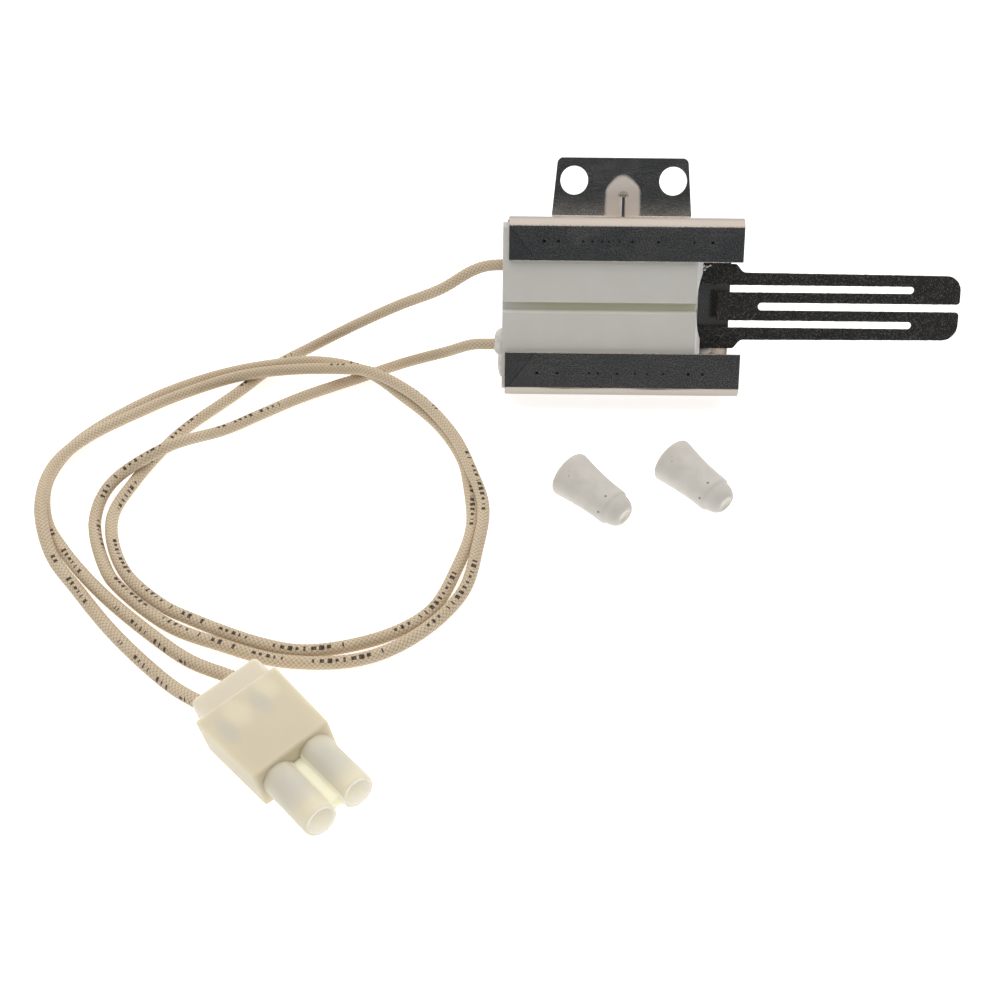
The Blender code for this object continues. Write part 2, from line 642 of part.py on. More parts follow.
def make_wire_nut(name, mouth, heading, ceramic):
    """A tapered nut lying on its side: the mouth's rim and the shoulder touch the bench."""
    flank = []
    flank_steps = 6
    for step in range(flank_steps + 1):
        share = step / flank_steps
        radius = NUT_MOUTH_RADIUS + (NUT_SHOULDER_RADIUS - NUT_MOUTH_RADIUS) * share
        hollow = 0.35 * MM * math.sin(math.pi * share)
        flank.append((radius - hollow, 0.6 * MM + (NUT_SHOULDER_AT - 0.6 * MM) * share))
    profile = [
        (0, 12.5 * MM),
        (2.1 * MM, 12.0 * MM),
        (4.7 * MM, 0.4 * MM),
        (5.0 * MM, 0),
        (NUT_MOUTH_RADIUS - 0.35 * MM, 0),
        *flank,
        (3.9 * MM, NUT_SHOULDER_AT + 0.7 * MM),
        (3.8 * MM, NUT_SHOULDER_AT + 1.9 * MM),
        (3.3 * MM, NUT_LENGTH - 0.7 * MM),
        (2.6 * MM, NUT_LENGTH),
        (1.6 * MM, NUT_LENGTH),
        (1.2 * MM, NUT_LENGTH - 1.5 * MM),
        (0, NUT_LENGTH - 1.7 * MM),
    ]
    nut = solid(name, lathe(profile), ceramic, None, ALONG_X)
    height = BENCH_Z + NUT_MOUTH_RADIUS * math.cos(NUT_SAG) + 0.06 * MM
    nut.location = (*mouth, height)
    nut.rotation_euler = (0, NUT_SAG, heading)


def main():
    clear_scene()
    finishes = {
        "steel": material("bracket_steel", (0.32, 0.32, 0.33), 0.25, 1.0),
        "ceramic": material("block_ceramic", (0.72, 0.72, 0.68), 0.6),
        "carbide": material("silicon_carbide", (0.03, 0.028, 0.025), 0.8),
        "cement": material("white_cement", (0.78, 0.76, 0.72), 0.9),
        "nickel": material("nickel_strip", (0.62, 0.6, 0.56), 0.35, 1.0),
        "copper": material("nickel_plated_copper", (0.66, 0.6, 0.52), 0.35, 1.0),
        "braid": material("glass_braid", (0.55, 0.46, 0.34), 0.85),
        "nylon": material("natural_nylon", (0.8, 0.76, 0.62), 0.4),
        "nut_ceramic": material("nut_ceramic", (0.72, 0.69, 0.64), 0.6),
    }
    place = Matrix.Rotation(LEAN, 4, "X") @ Vector((0, -HOLE_Y, -CHANNEL_REAR_Z))
    igniter = frame_empty("igniter_frame", place, (LEAN, 0, 0))
    make_bracket(igniter, finishes["steel"])
    make_block(igniter, finishes["ceramic"])
    make_element(igniter, finishes["carbide"])
    make_element_cement(igniter, finishes["cement"])
    for side, sign in (("upper", 1), ("lower", -1)):
        make_lead_joint(igniter, side, sign, finishes)
    make_lead("upper_lead", UPPER_LEAD_ROUTE, finishes["braid"])
    make_lead("lower_lead", LOWER_LEAD_ROUTE, finishes["braid"])
    make_plug(frame_empty("plug_frame", PLUG_PLACE, PLUG_TURN), finishes)
    for name, (mouth, heading) in NUTS.items():
        make_wire_nut(name, mouth, heading, finishes["nut_ceramic"])


main()
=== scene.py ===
"""Looks of the flat silicon-carbide hot-surface igniter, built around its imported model.

Units are metres and +Z is up, as in the model. Pieces of the igniter are modelled in its own leaning frame
(X along the element, Y up its face, Z out of its face), pieces of the plug along the plug's axis, and each
wire nut along its own axis. MM turns the sizes below into metres.
"""

import math
from functools import partialmethod

import bmesh
import bpy
import numpy as np
from mathutils import Matrix, Vector


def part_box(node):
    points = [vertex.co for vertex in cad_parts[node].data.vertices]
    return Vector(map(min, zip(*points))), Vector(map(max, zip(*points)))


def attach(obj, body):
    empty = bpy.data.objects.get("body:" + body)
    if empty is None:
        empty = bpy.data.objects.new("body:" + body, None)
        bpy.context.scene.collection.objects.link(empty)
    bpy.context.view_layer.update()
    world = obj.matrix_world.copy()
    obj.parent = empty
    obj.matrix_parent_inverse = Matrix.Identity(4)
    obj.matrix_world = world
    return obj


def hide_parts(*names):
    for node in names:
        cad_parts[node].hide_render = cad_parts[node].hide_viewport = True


MM = 0.001

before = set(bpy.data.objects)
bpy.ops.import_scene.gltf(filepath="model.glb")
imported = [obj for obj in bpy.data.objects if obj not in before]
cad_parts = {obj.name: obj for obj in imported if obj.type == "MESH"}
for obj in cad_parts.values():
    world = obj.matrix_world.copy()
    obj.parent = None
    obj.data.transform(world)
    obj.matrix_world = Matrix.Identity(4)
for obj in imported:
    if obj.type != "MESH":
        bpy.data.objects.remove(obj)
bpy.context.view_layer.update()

LEAN = math.radians(60)
BENCH_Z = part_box("lower_lead")[0].z - 0.06 * MM
HOLE_Y = 0.21 * MM

# Camera
CAMERA_PLACE = Vector((-30.906, -282.265, 150.381)) * MM
CAMERA_TILT = math.radians(47)
CAMERA_ROLL = math.radians(0.6)
CAMERA_LENS = 43.2

# Bracket
SHEET = 0.9 * MM
BEND_RADIUS = 2.6 * MM
BEND_STEPS = 16
LIP_FRONT_Z = 5.9 * MM
CHANNEL_REAR_Z = -6.1 * MM
CHANNEL_TOP_Y = -8.9 * MM
CHANNEL_BOTTOM_Y = -53.95 * MM
UPPER_LIP_EDGE_Y = -19.85 * MM
LOWER_LIP_EDGE_Y = -42.9 * MM
UPPER_LIP_ENDS = (-29.3 * MM, 29.75 * MM)
LOWER_LIP_ENDS = (-30.05 * MM, 30.2 * MM)
BACK_PLATE_ENDS = (-29.6 * MM, 28.75 * MM)
HOLE_X = 12.7 * MM
HOLE_RADIUS = 3.55 * MM
TAB_FRONT_Z = CHANNEL_REAR_Z + SHEET
TAB_TOP_Y = 5.9 * MM
TAB_MIDDLE_X = -0.28 * MM
TAB_BASE_HALF = 18.0 * MM
TAB_TOP_HALF = 16.7 * MM
TAB_CORNER = 1.5 * MM
TAB_BEND_RADIUS = 1.25 * MM
LANCE_HALF = 21.5 * MM
LANCE_DROP = 15.0 * MM
LANCE_FRONT_Z = CHANNEL_REAR_Z + BEND_RADIUS + 0.15 * MM
MIDDLE_Y = -31.4 * MM
RIB_HALF = 0.73 * MM
RIB_TOP_Y = -2.5 * MM
RIB_END_Y = RIB_TOP_Y - 1.3 * MM
RIB_Z = TAB_FRONT_Z + 1.0 * MM
IGNITER = Matrix.Rotation(LEAN, 4, "X") @ Matrix.Translation((0, -HOLE_Y, -CHANNEL_REAR_Z))

# Ceramic block
BLOCK_LEFT_X = -30.85 * MM
BLOCK_RIGHT_X = 19.95 * MM
BLOCK_HALF_HEIGHT = 21.0 * MM
BLOCK_FRONT_Z = LIP_FRONT_Z - SHEET - 0.3 * MM
BLOCK_CHAMFER = 1.3 * MM
GROOVE_HALF = 1.2 * MM
GROOVE_DEPTH = 1.2 * MM
MOUTH_BEVEL_X = 18.55 * MM
MOUTH_BOW = 0.9 * MM
POCKET_LEFT_X = -22.6 * MM
POCKET_HALF_HEIGHT = 12.7 * MM
POCKET_HALF_DEPTH = 2.0 * MM
WAY_RADIUS = 2.8 * MM
WAY_HALF_PITCH = 10.05 * MM

# Element
ELEMENT_MIDDLE_Y = -31.05 * MM

# Leads: the sleeve's crossing strands, where each lead leaves the block, and its route in millimetres.
# BRAID_PITCH counts crossings in a millimetre, and BRAID_UNDER is a strand's height where it dips under.
LEAD_DIAMETER = 2.8 * MM
BRAID_STRANDS = 8
BRAID_PITCH = 0.92
BRAID_RELIEF = 0.05 * MM
BRAID_CREST = 0.6
BRAID_UNDER = 0.55
UPPER_EXIT = Vector((-34.2, -16.1, -15.6)) * MM
LOWER_EXIT = Vector((-34.2, -26.1, -33.0)) * MM

UPPER_LEAD_ROUTE = [
    (-23.5, -16.1, -15.6), (-34.2, -16.1, -15.6), (-38.5, -16.5, -16.9), (-46.6, -17.4, -21.9),
    (-57.9, -15.0, -28.6), (-69.5, -13.6, -35.6), (-82.0, -14.9, -42.2), (-92.3, -19.9, -45.5),
    (-101.5, -33.3, -45.5), (-110.5, -45.7, -45.5), (-114.1, -52.3, -45.5), (-119.5, -66.8, -45.5),
    (-121.8, -80.1, -45.5), (-115.3, -96.5, -45.5), (-104.2, -107.1, -45.5), (-98.1, -110.5, -45.5),
    (-81.0, -117.7, -45.5), (-70.8, -119.4, -45.5), (-55.0, -115.1, -45.5), (-45.7, -107.8, -45.5),
    (-40.5, -95.0, -45.5), (-37.5, -81.8, -45.5), (-38.4, -68.1, -45.5), (-40.5, -57.3, -45.5),
    (-47.0, -44.7, -45.0), (-55.9, -35.9, -43.4), (-67.1, -25.9, -42.4), (-79.7, -21.4, -42.7),
    (-93.9, -23.7, -42.5), (-108.8, -26.6, -44.6), (-122.7, -35.0, -45.5), (-137.2, -52.7, -45.5),
    (-140.6, -66.7, -45.5), (-137.2, -80.5, -45.5), (-130.3, -90.7, -45.5), (-118.7, -103.4, -45.5),
    (-105.2, -115.2, -45.5), (-95.1, -122.9, -45.0), (-84.6, -129.1, -42.6), (-81.3, -131.1, -42.1),
]
LOWER_LEAD_ROUTE = [
    (-23.5, -26.1, -33.0), (-34.2, -26.1, -33.0), (-38.5, -25.7, -33.5), (-45.5, -23.4, -37.6),
    (-56.7, -21.6, -42.6), (-68.7, -24.6, -45.5), (-83.3, -33.3, -45.5), (-93.0, -40.7, -45.5),
    (-100.7, -48.0, -44.6), (-113.0, -58.9, -41.5), (-124.2, -69.0, -44.1), (-125.8, -80.1, -45.5),
    (-119.1, -96.7, -45.5), (-115.0, -101.9, -45.5), (-101.4, -113.0, -45.5), (-89.6, -118.0, -45.5),
    (-75.9, -122.2, -45.5), (-59.7, -121.5, -45.5), (-48.6, -115.2, -45.3), (-39.1, -103.4, -44.7),
    (-36.0, -89.9, -44.2), (-34.8, -76.8, -43.3), (-37.8, -65.2, -42.7), (-43.1, -51.5, -42.1),
    (-52.9, -38.5, -40.7), (-65.2, -30.1, -39.4), (-72.6, -27.7, -40.4), (-86.5, -26.3, -41.8),
    (-100.2, -28.1, -42.8), (-115.9, -34.7, -44.6), (-123.3, -40.7, -44.6), (-134.6, -53.5, -43.5),
    (-139.1, -64.5, -42.7), (-137.7, -80.1, -41.9), (-132.1, -93.2, -44.1), (-124.0, -102.8, -45.4),
    (-112.3, -115.9, -45.5), (-98.1, -128.8, -45.5), (-90.4, -134.9, -43.3), (-87.4, -136.5, -42.9),
]

# Plug
PLUG = Matrix.LocRotScale(
    Vector((-81.5, -137.05, -41.8)) * MM,
    Matrix.Rotation(math.radians(-48.9), 3, "Z")
    @ Matrix.Rotation(math.radians(-9.2), 3, "Y")
    @ Matrix.Rotation(math.radians(5.7), 3, "X"),
    None,
)
PLUG_BODY = Vector((20.6, 17.1, 8.9)) * MM
BARREL_LENGTH = 14.2 * MM
BARREL_HALF_PITCH = 4.1 * MM
BORE_RADIUS = 2.6 * MM
WEB_HALF = 1.1 * MM

# Wire nuts: the mouth's place in plan, in millimetres, and the heading of the axis
NUTS = {
    "wire_nut_left": ((-14.5, -67.0), math.radians(-46.7)),
    "wire_nut_right": ((10.6, -61.5), math.radians(-50.8)),
}
NUT_SAG = math.radians(3.9)
NUT_MOUTH_RADIUS = 5.8 * MM


# Materials


class Graph:
    """The nodes of a material or a world, with short names for the ones that the looks use.

    A value is a socket or a plain number, and a method gives back the socket that its node puts out.
    """

    def __init__(self, owner, shader):
        owner.use_nodes = True
        self.owner = owner
        self.tree = owner.node_tree
        self.shader = self.tree.nodes[shader]

    def put(self, socket, value):
        if isinstance(value, bpy.types.NodeSocket):
            self.tree.links.new(value, socket)
        elif socket.type == "RGBA":
            socket.default_value = (*value, 1)
        else:
            socket.default_value = value

    def finish(self, **sockets):
        """Puts those values into the shader and gives back the owner."""
        for name, value in sockets.items():
            self.put(self.shader.inputs[name.replace("_", " ")], value)
        return self.owner

    def add(self, kind, values=None, **settings):
        made = self.tree.nodes.new(kind)
        for key, value in settings.items():
            setattr(made, key, value)
        for key, value in (values or {}).items():
            self.put(made.inputs[key], value)
        return made

    def math(self, operation, *values):
        return self.add("ShaderNodeMath", dict(enumerate(values)), operation=operation).outputs[0]

    plus = partialmethod(math, "ADD")
    minus = partialmethod(math, "SUBTRACT")
    over = partialmethod(math, "DIVIDE")
    scaled = partialmethod(math, "MULTIPLY_ADD")  # value * factor + offset
    absolute = partialmethod(math, "ABSOLUTE")
    above = partialmethod(math, "GREATER_THAN")
    below = partialmethod(math, "LESS_THAN")

    def times(self, first, *others):
        for other in others:
            first = self.math("MULTIPLY", first, other)
        return first

    def largest(self, first, *others):
        for other in others:
            first = self.math("MAXIMUM", first, other)
        return first

    def squares(self, across, up):
        """The squared length of a flat vector."""
        return self.plus(self.math("POWER", across, 2.0), self.math("POWER", up, 2.0))

    def distance(self, across, up):
        return self.math("SQRT", self.squares(across, up))

    def coords(self, kind="Object"):
        return self.add("ShaderNodeTexCoord").outputs[kind]

    def axes(self, vector):
        return self.add("ShaderNodeSeparateXYZ", {0: vector}).outputs

    def channels(self, colour):
        return self.add("ShaderNodeSeparateColor", {0: colour}).outputs

    def noise(self, vector, scale, detail=4.0, roughness=0.55):
        values = {"Vector": vector, "Scale": scale, "Detail": detail, "Roughness": roughness}
        return self.add("ShaderNodeTexNoise", values).outputs["Fac"]

    def wave(self, along, frequency):
        """Smooth noise of one number."""
        values = {"W": self.times(along, frequency), "Scale": 1.0}
        return self.add("ShaderNodeTexNoise", values, noise_dimensions="1D").outputs["Fac"]

    def stretched(self, vector, scale):
        return self.add("ShaderNodeVectorMath", {0: vector, 1: scale}, operation="MULTIPLY").outputs[0]

    def remap(self, value, low, high, to_low=0.0, to_high=1.0):
        """value from low..high, clamped, to to_low..to_high, with soft ends."""
        values = {0: value, 1: low, 2: high, 3: to_low, 4: to_high}
        return self.add("ShaderNodeMapRange", values, interpolation_type="SMOOTHSTEP").outputs[0]

    def mix(self, factor, first, second):
        values = {"Factor": factor, 6: first, 7: second}
        return self.add("ShaderNodeMix", values, data_type="RGBA").outputs[2]

    def bump(self, height, reach, strength=1.0, normal=None):
        values = {"Height": height, "Distance": reach, "Strength": strength}
        if normal:
            values["Normal"] = normal
        return self.add("ShaderNodeBump", values).outputs["Normal"]

    def rounded_edges(self, radius):
        """The normal of a surface whose edges are rounded to this radius."""
        return self.add("ShaderNodeBevel", {"Radius": radius}, samples=6).outputs["Normal"]


def material(name, **sockets):
    """The graph of a new material, with those sockets of its shader set."""
    g = Graph(bpy.data.materials.new(name), "Principled BSDF")
    g.finish(**sockets)
    return g


def steel():
    """Bright stainless sheet, finely grained on its flats, with a matt coined patch on the tab."""
    g = material("bracket_steel_look", Metallic=1.0)
    at = g.coords()
    x, y, z = g.axes(at)
    above_flange = g.above(y, CHANNEL_TOP_Y + 0.1 * MM)
    on_tab = g.times(above_flange, g.below(z, RIB_Z - 0.25 * MM))
    on_front = g.times(on_tab, g.above(z, TAB_FRONT_Z - 0.3 * MM))
    on_lip = g.above(z, LIP_FRONT_Z - 0.04 * MM)
    on_flat = g.largest(on_tab, on_lip)
    grain = g.remap(g.noise(at, 2900.0, 1.0), 0.40, 0.60)
    even = g.mix(g.times(grain, on_flat), (0.49, 0.455, 0.42), (0.76, 0.71, 0.665))
    tint = g.mix(on_flat, (0.61, 0.56, 0.515), even)
    patch = g.times(coined_patch(g, at, x, y), on_front)
    tint = g.mix(patch, tint, (0.94, 0.89, 0.84))
    # painted shade on the end of the rib, and in an arch for the hollow pressed round it, which only this
    # painted shade draws
    from_end = g.distance(x, g.minus(y, RIB_END_Y))
    past_end = g.times(g.above(y, RIB_END_Y), above_flange)
    hollow = g.times(g.remap(from_end, 1.25 * MM, 1.6 * MM, 0.35, 0.0), past_end, on_front)
    tint = g.mix(hollow, tint, (0.33, 0.29, 0.23))
    # painted shade on the rib's rounded end
    cap_shade = g.times(past_end, g.below(from_end, 1.35 * MM), g.above(z, TAB_FRONT_Z + 0.05 * MM))
    tint = g.mix(cap_shade, tint, (0.30, 0.265, 0.21))
    # painted shade in the creased corners of the lips, and on the bend below, which looks down at its own
    # shade
    tint = g.mix(g.times(crease_shade(g, x, y), on_lip), tint, (0.16, 0.16, 0.17))
    # painted shade on the lower bend
    low_bend_shade = g.remap(y, CHANNEL_BOTTOM_Y + 2.3 * MM, CHANNEL_BOTTOM_Y + 2.6 * MM, 1.0, 0.0)
    low_bend_shade = g.times(low_bend_shade, g.above(z, 0.0))
    tint = g.mix(low_bend_shade, tint, (0.42, 0.385, 0.345))
    # painted shade in the pressed pits, which have no depth of their own
    pit_shade = g.times(dimples(g, x, y), on_lip)
    tint = g.mix(pit_shade, tint, (0.02, 0.02, 0.02))
    streaks = g.noise(g.stretched(at, (240.0, 2800.0, 2800.0)), 1.0, 3.0)
    clouds = g.noise(at, 130.0, 3.0)
    polish = g.plus(g.remap(streaks, 0.3, 0.75, 0.15, 0.19), g.remap(clouds, 0.35, 0.7, 0.0, 0.04))
    foot = g.times(g.remap(y, CHANNEL_TOP_Y, -2.0 * MM, 1.0, 0.0), on_tab)
    rough = g.scaled(g.largest(patch, cap_shade), 0.55, g.scaled(foot, 0.12, polish))
    rolled = g.bump(streaks, 0.0008 * MM, 0.5, g.rounded_edges(0.2 * MM))
    scratched = g.noise(g.stretched(at, (2600.0, 900.0, 900.0)), 1.0, 3.0)
    normal = g.bump(g.times(scratched, patch), 0.02 * MM, 0.8, rolled)
    return g.finish(Base_Color=tint, Roughness=rough, Normal=normal)


def coined_patch(g, at, x, y):
    """1 inside an arch round the rib, its outline a little uneven and soft."""
    aside = g.plus(x, 0.1 * MM)
    in_mm = g.over(aside, MM)
    bow = g.times(g.math("POWER", in_mm, 2.0), -0.17 * MM)
    wobble = g.times(g.minus(g.noise(at, 420.0, 3.0), 0.5), 0.8 * MM)
    under_top = g.plus(g.minus(g.plus(bow, 1.3 * MM), y), wobble)
    inside = g.remap(under_top, -0.7 * MM, 0.7 * MM)
    across = g.plus(g.absolute(aside), g.times(wobble, 0.25))
    return g.times(inside, g.remap(across, 3.8 * MM, 4.9 * MM, 1.0, 0.0))


def crease_shade(g, x, y):
    """How much painted shade darkens the left corner of each lip, past a faint diagonal fold."""
    middle = 0.5 * (UPPER_LIP_EDGE_Y + LOWER_LIP_EDGE_Y)
    folds = (((-27.4, -13.6), (-0.781, -0.625), g.above), ((-28.4, -50.6), (-0.789, 0.615), g.below))
    marks = []
    for place, way, side in folds:
        off_x = g.times(g.minus(x, place[0] * MM), way[0])
        off_y = g.times(g.minus(y, place[1] * MM), way[1])
        past = g.plus(off_x, off_y)
        line = g.remap(g.absolute(past), 0.1 * MM, 0.3 * MM, 0.4, 0.0)
        corner = g.remap(past, -0.1 * MM, 0.1 * MM, 0.0, 0.16)
        marks.append(g.times(g.largest(line, corner), side(y, middle)))
    return g.largest(*marks)


def dimples(g, x, y):
    """1 inside small pressed marks, (x, radius) in millimetres, in two rows along the lips, where their shade
    is painted.
    """
    upper = (
        (-20.5, 0.42), (-16.9, 0.36), (-10.7, 0.3), (-8.4, 0.26), (-6.0, 0.25), (-4.3, 0.25), (-1.7, 0.27),
        (1.6, 0.32), (8.1, 0.36), (17.2, 0.27), (21.8, 0.38),
    )
    lower = (
        (-21.8, 0.38), (-16.6, 0.36), (-8.4, 0.3), (-6.1, 0.3), (-1.2, 0.3), (3.4, 0.26), (6.5, 0.25),
        (10.6, 0.26), (17.1, 0.36), (20.7, 0.33),
    )
    marks = []
    for row_y, places in ((-15.0, upper), (-48.1, lower)):
        up = g.times(g.minus(y, row_y * MM), 1.15)
        for place, reach in places:
            far = g.distance(up, g.minus(x, place * MM))
            marks.append(g.remap(far, 0.75 * reach * MM, 1.35 * reach * MM, 0.97, 0.0))
    return g.largest(*marks)


def ceramic(name, grooved):
    """Unglazed steatite, slightly grainy. The front half has painted greenish shade in its groove and painted
    light on its slanting bevel.
    """
    g = material(
        name, Subsurface_Weight=0.25, Subsurface_Radius=(1.0, 0.95, 0.8), Subsurface_Scale=1.0 * MM
    )
    at = g.coords()
    grain = g.noise(at, 5200.0, 3.0)
    cloudy = g.remap(g.noise(at, 110.0), 0.35, 0.65)
    tint = g.mix(cloudy, (0.625, 0.625, 0.59), (0.645, 0.645, 0.615))
    if grooved:
        # the front half is turned by ACROSS_X, so its own axes are the igniter's Y, Z and X
        y, z, x = g.axes(at)
        # painted greenish shade deep in the groove, weaker towards its left end and its lower edge
        deep = g.remap(z, BLOCK_FRONT_Z - 1.0 * MM, BLOCK_FRONT_Z - 0.2 * MM, 1.0, 0.0)
        in_groove = g.below(g.absolute(g.minus(y, MIDDLE_Y)), GROOVE_HALF + 0.3 * MM)
        from_left = g.remap(x, BLOCK_LEFT_X, BLOCK_LEFT_X + 14 * MM, 0.25, 1.0)
        from_edge = g.remap(y, MIDDLE_Y - 1.3 * MM, MIDDLE_Y, 0.3, 1.0)
        groove = g.times(deep, in_groove, from_left, from_edge)
        tint = g.mix(groove, tint, (0.53, 0.55, 0.41))
        # painted light on the slanting bevel at the mouth
        lit_bevel = g.remap(x, MOUTH_BEVEL_X - 0.05 * MM, MOUTH_BEVEL_X + 0.2 * MM)
        tint = g.mix(lit_bevel, tint, (0.86, 0.86, 0.85))
    rough = g.remap(grain, 0.3, 0.7, 0.5, 0.68)
    return g.finish(Base_Color=tint, Roughness=rough, Normal=g.bump(grain, 0.012 * MM, 0.5))


def silicon_carbide():
    """Recrystallised silicon carbide: near-black crystals, fine ones of them with painted glints."""
    g = material("silicon_carbide_look", Specular_IOR_Level=0.5)
    at = g.coords()
    cells = g.add("ShaderNodeTexVoronoi", {"Vector": at, "Scale": 4300.0})
    crystal = g.channels(cells.outputs["Color"])
    drift = g.noise(at, 90.0, 3.0)
    dark = g.mix(drift, (0.006, 0.006, 0.006), (0.011, 0.0105, 0.010))
    # painted glints: some crystals are painted lighter
    glint = g.remap(crystal[0], 0.72, 1.0)
    tint = g.mix(glint, dark, (0.09, 0.089, 0.086))
    rough = g.remap(crystal[1], 0.0, 1.0, 0.5, 0.95)
    coarse = g.bump(cells.outputs["Distance"], 0.06 * MM, 0.9)
    normal = g.bump(g.noise(at, 9000.0, 3.0), 0.03 * MM, 0.7, coarse)
    return g.finish(Base_Color=tint, Roughness=rough, Normal=normal)


def cement(name, colour):
    """Refractory cement, rough and crumbly."""
    g = material(name, Roughness=0.9)
    lumpy = g.noise(g.coords(), 900.0, 5.0, 0.6)
    dull = tuple(0.85 * c for c in colour)
    tint = g.mix(g.remap(lumpy, 0.35, 0.6), dull, colour)
    return g.finish(Base_Color=tint, Normal=g.bump(lumpy, 0.05 * MM, 0.8))


def plated(name, colour, roughness):
    """Metal plate, worn in fine spots."""
    g = material(name, Metallic=1.0)
    spots = g.noise(g.coords(), 2400.0)
    worn = tuple(0.75 * c for c in colour)
    tint = g.mix(spots, worn, colour)
    rough = g.remap(spots, 0.3, 0.7, roughness, roughness + 0.15)
    return g.finish(Base_Color=tint, Roughness=rough, Normal=g.bump(spots, 0.01 * MM, 0.5))


def glass_braid():
    """Braided glass sleeve. U runs round it, once from 0 to 1, and V along it in millimetres."""
    g = material("glass_braid_look", Specular_IOR_Level=0.35)
    round_it, along_it, _ = g.axes(g.coords("UV"))
    around = g.times(round_it, BRAID_STRANDS)
    along = g.times(along_it, BRAID_PITCH)
    heights, numbers = [], []
    for operation in ("ADD", "SUBTRACT"):
        place = g.math(operation, around, along)
        wave = g.math("SINE", g.times(place, math.pi))
        heights.append(g.math("POWER", g.absolute(wave), BRAID_CREST))
        numbers.append(g.math("FLOOR", place))
    on_top = g.above(g.math("FLOORED_MODULO", g.plus(*numbers), 2.0), 0.5)
    first = g.times(heights[0], g.scaled(on_top, 1 - BRAID_UNDER, BRAID_UNDER))
    second = g.times(heights[1], g.scaled(on_top, BRAID_UNDER - 1, 1.0))
    height = g.largest(first, second)
    at = g.coords()
    fibres = g.noise(at, 5200.0, 3.0)
    stains = g.noise(at, 60.0)
    yarn = g.mix(g.remap(stains, 0.35, 0.65), (0.59, 0.475, 0.33), (0.66, 0.55, 0.40))
    yarn = g.mix(g.remap(fibres, 0.3, 0.75, 0, 0.5), yarn, (0.84, 0.75, 0.60))
    # painted shade in the hollows of the weave
    sleeve = g.mix(g.remap(height, 0.25, 0.9), (0.36, 0.27, 0.17), yarn)
    tint = g.mix(ink_marks(g, round_it, along_it, height), sleeve, (0.05, 0.04, 0.033))
    woven = g.bump(height, 0.08 * MM, 0.8)
    rough = g.remap(height, 0.2, 1.0, 0.85, 0.6)
    return g.finish(Base_Color=tint, Roughness=rough, Normal=g.bump(fibres, 0.02 * MM, 0.5, woven))


def ink_marks(g, around, along, height):
    """Plain short dashes in groups, in a line that wanders a little, worn off the hollows of the weave."""
    line = g.scaled(g.wave(along, 0.011), 0.9, -0.2)
    off_line = g.absolute(g.minus(around, line))
    cell = g.times(along, 0.62)
    number = g.math("FLOOR", cell)
    chance = g.add("ShaderNodeTexWhiteNoise", {"W": number}, noise_dimensions="1D").outputs["Color"]
    tall, long, kept = g.channels(chance)
    near = g.below(off_line, g.scaled(tall, 0.035, 0.035))
    dash = g.below(g.math("FRACT", cell), g.scaled(long, 0.55, 0.15))
    in_group = g.above(g.wave(along, 0.055), 0.45)
    # one side of the outer loop and the ends at the block show none
    off_loop = g.largest(g.below(along, 345.0), g.above(along, 455.0))
    shown = g.times(g.above(along, 62.0), off_loop)
    worn = g.remap(height, 0.3, 0.65, 0.35, 1.0)
    return g.times(near, dash, g.above(kept, 0.18), in_group, shown, worn)


def nylon():
    """Uncoloured nylon, milky all through. The contacts inside show as painted cool shadows, the hollows as
    painted warm light.
    """
    g = material(
        "natural_nylon_look",
        Subsurface_Weight=1.0,
        Subsurface_Radius=(1.0, 0.93, 0.72),
        Subsurface_Scale=2.6 * MM,
        IOR=1.45,
        Specular_IOR_Level=0.35,
        Emission_Strength=0.07,
    )
    at = g.coords()
    x, y, z = g.axes(at)
    haze = g.noise(at, 130.0, 3.0)
    past_rear = g.remap(x, -0.4 * MM, 2.0 * MM)
    in_body = g.times(past_rear, g.remap(x, 18.6 * MM, 24.0 * MM, 1.0, 0.0))
    tint = g.mix(in_body, (0.725, 0.67, 0.545), (0.69, 0.63, 0.48))
    # (x, y, reach in x, reach in y) of each painted patch of light or shadow, in millimetres
    glow_at = ((5.0, -2.4, 5.2, 3.2), (3.6, 5.1, 4.6, 2.6))
    shadow_at = ((6.3, 2.3, 5.0, 2.1), (7.4, -6.1, 5.0, 2.2), (26.5, -4.4, 6.5, 3.4), (27.5, 4.1, 6.5, 3.4))
    warm, cool = (0.82, 0.76, 0.58), (0.57, 0.565, 0.53)
    # painted warm light, then painted cool shadows of the contacts
    for places, colour, strength in ((glow_at, warm, 0.6), (shadow_at, cool, 0.5)):
        for place_x, place_y, reach_x, reach_y in places:
            aside = g.over(g.minus(x, place_x * MM), reach_x * MM)
            across = g.over(g.minus(y, place_y * MM), reach_y * MM)
            ragged = g.scaled(haze, 0.4, g.squares(aside, across))
            tint = g.mix(g.remap(ragged, 0.1, 1.3, strength, 0.0), tint, colour)
    # painted light and a faint painted glow stand for the light that comes through the thin walls into the
    # bores, and through the web
    off_axis = g.distance(g.minus(g.absolute(y), BARREL_HALF_PITCH), z)
    past_front = g.remap(x, 20.0 * MM, 24.0 * MM)
    in_bore = g.times(g.below(off_axis, BORE_RADIUS + 0.12 * MM), past_front)
    on_web = g.below(g.absolute(y), WEB_HALF + 0.1 * MM)
    in_web = g.times(on_web, g.remap(x, 20.7 * MM, 21.2 * MM))
    tint = g.mix(in_web, tint, (0.88, 0.855, 0.69))
    tint = g.mix(in_bore, tint, (0.86, 0.83, 0.77))
    # a faint painted glow: the nylon gives off light here, though it is no lamp
    lit = g.mix(in_web, (0, 0, 0), (0.8, 0.76, 0.58))
    lit = g.mix(in_bore, lit, (1.0, 0.96, 0.87))
    skin = g.noise(at, 1800.0, 3.0)
    rough = g.remap(skin, 0.3, 0.7, 0.42, 0.55)
    drawn = g.noise(g.stretched(at, (120.0, 2200.0, 2200.0)), 1.0, 2.0)
    normal = g.bump(skin, 0.008 * MM, 0.5, g.bump(drawn, 0.012 * MM, 0.6))
    return g.finish(Base_Color=tint, Emission_Color=lit, Roughness=rough, Normal=normal)


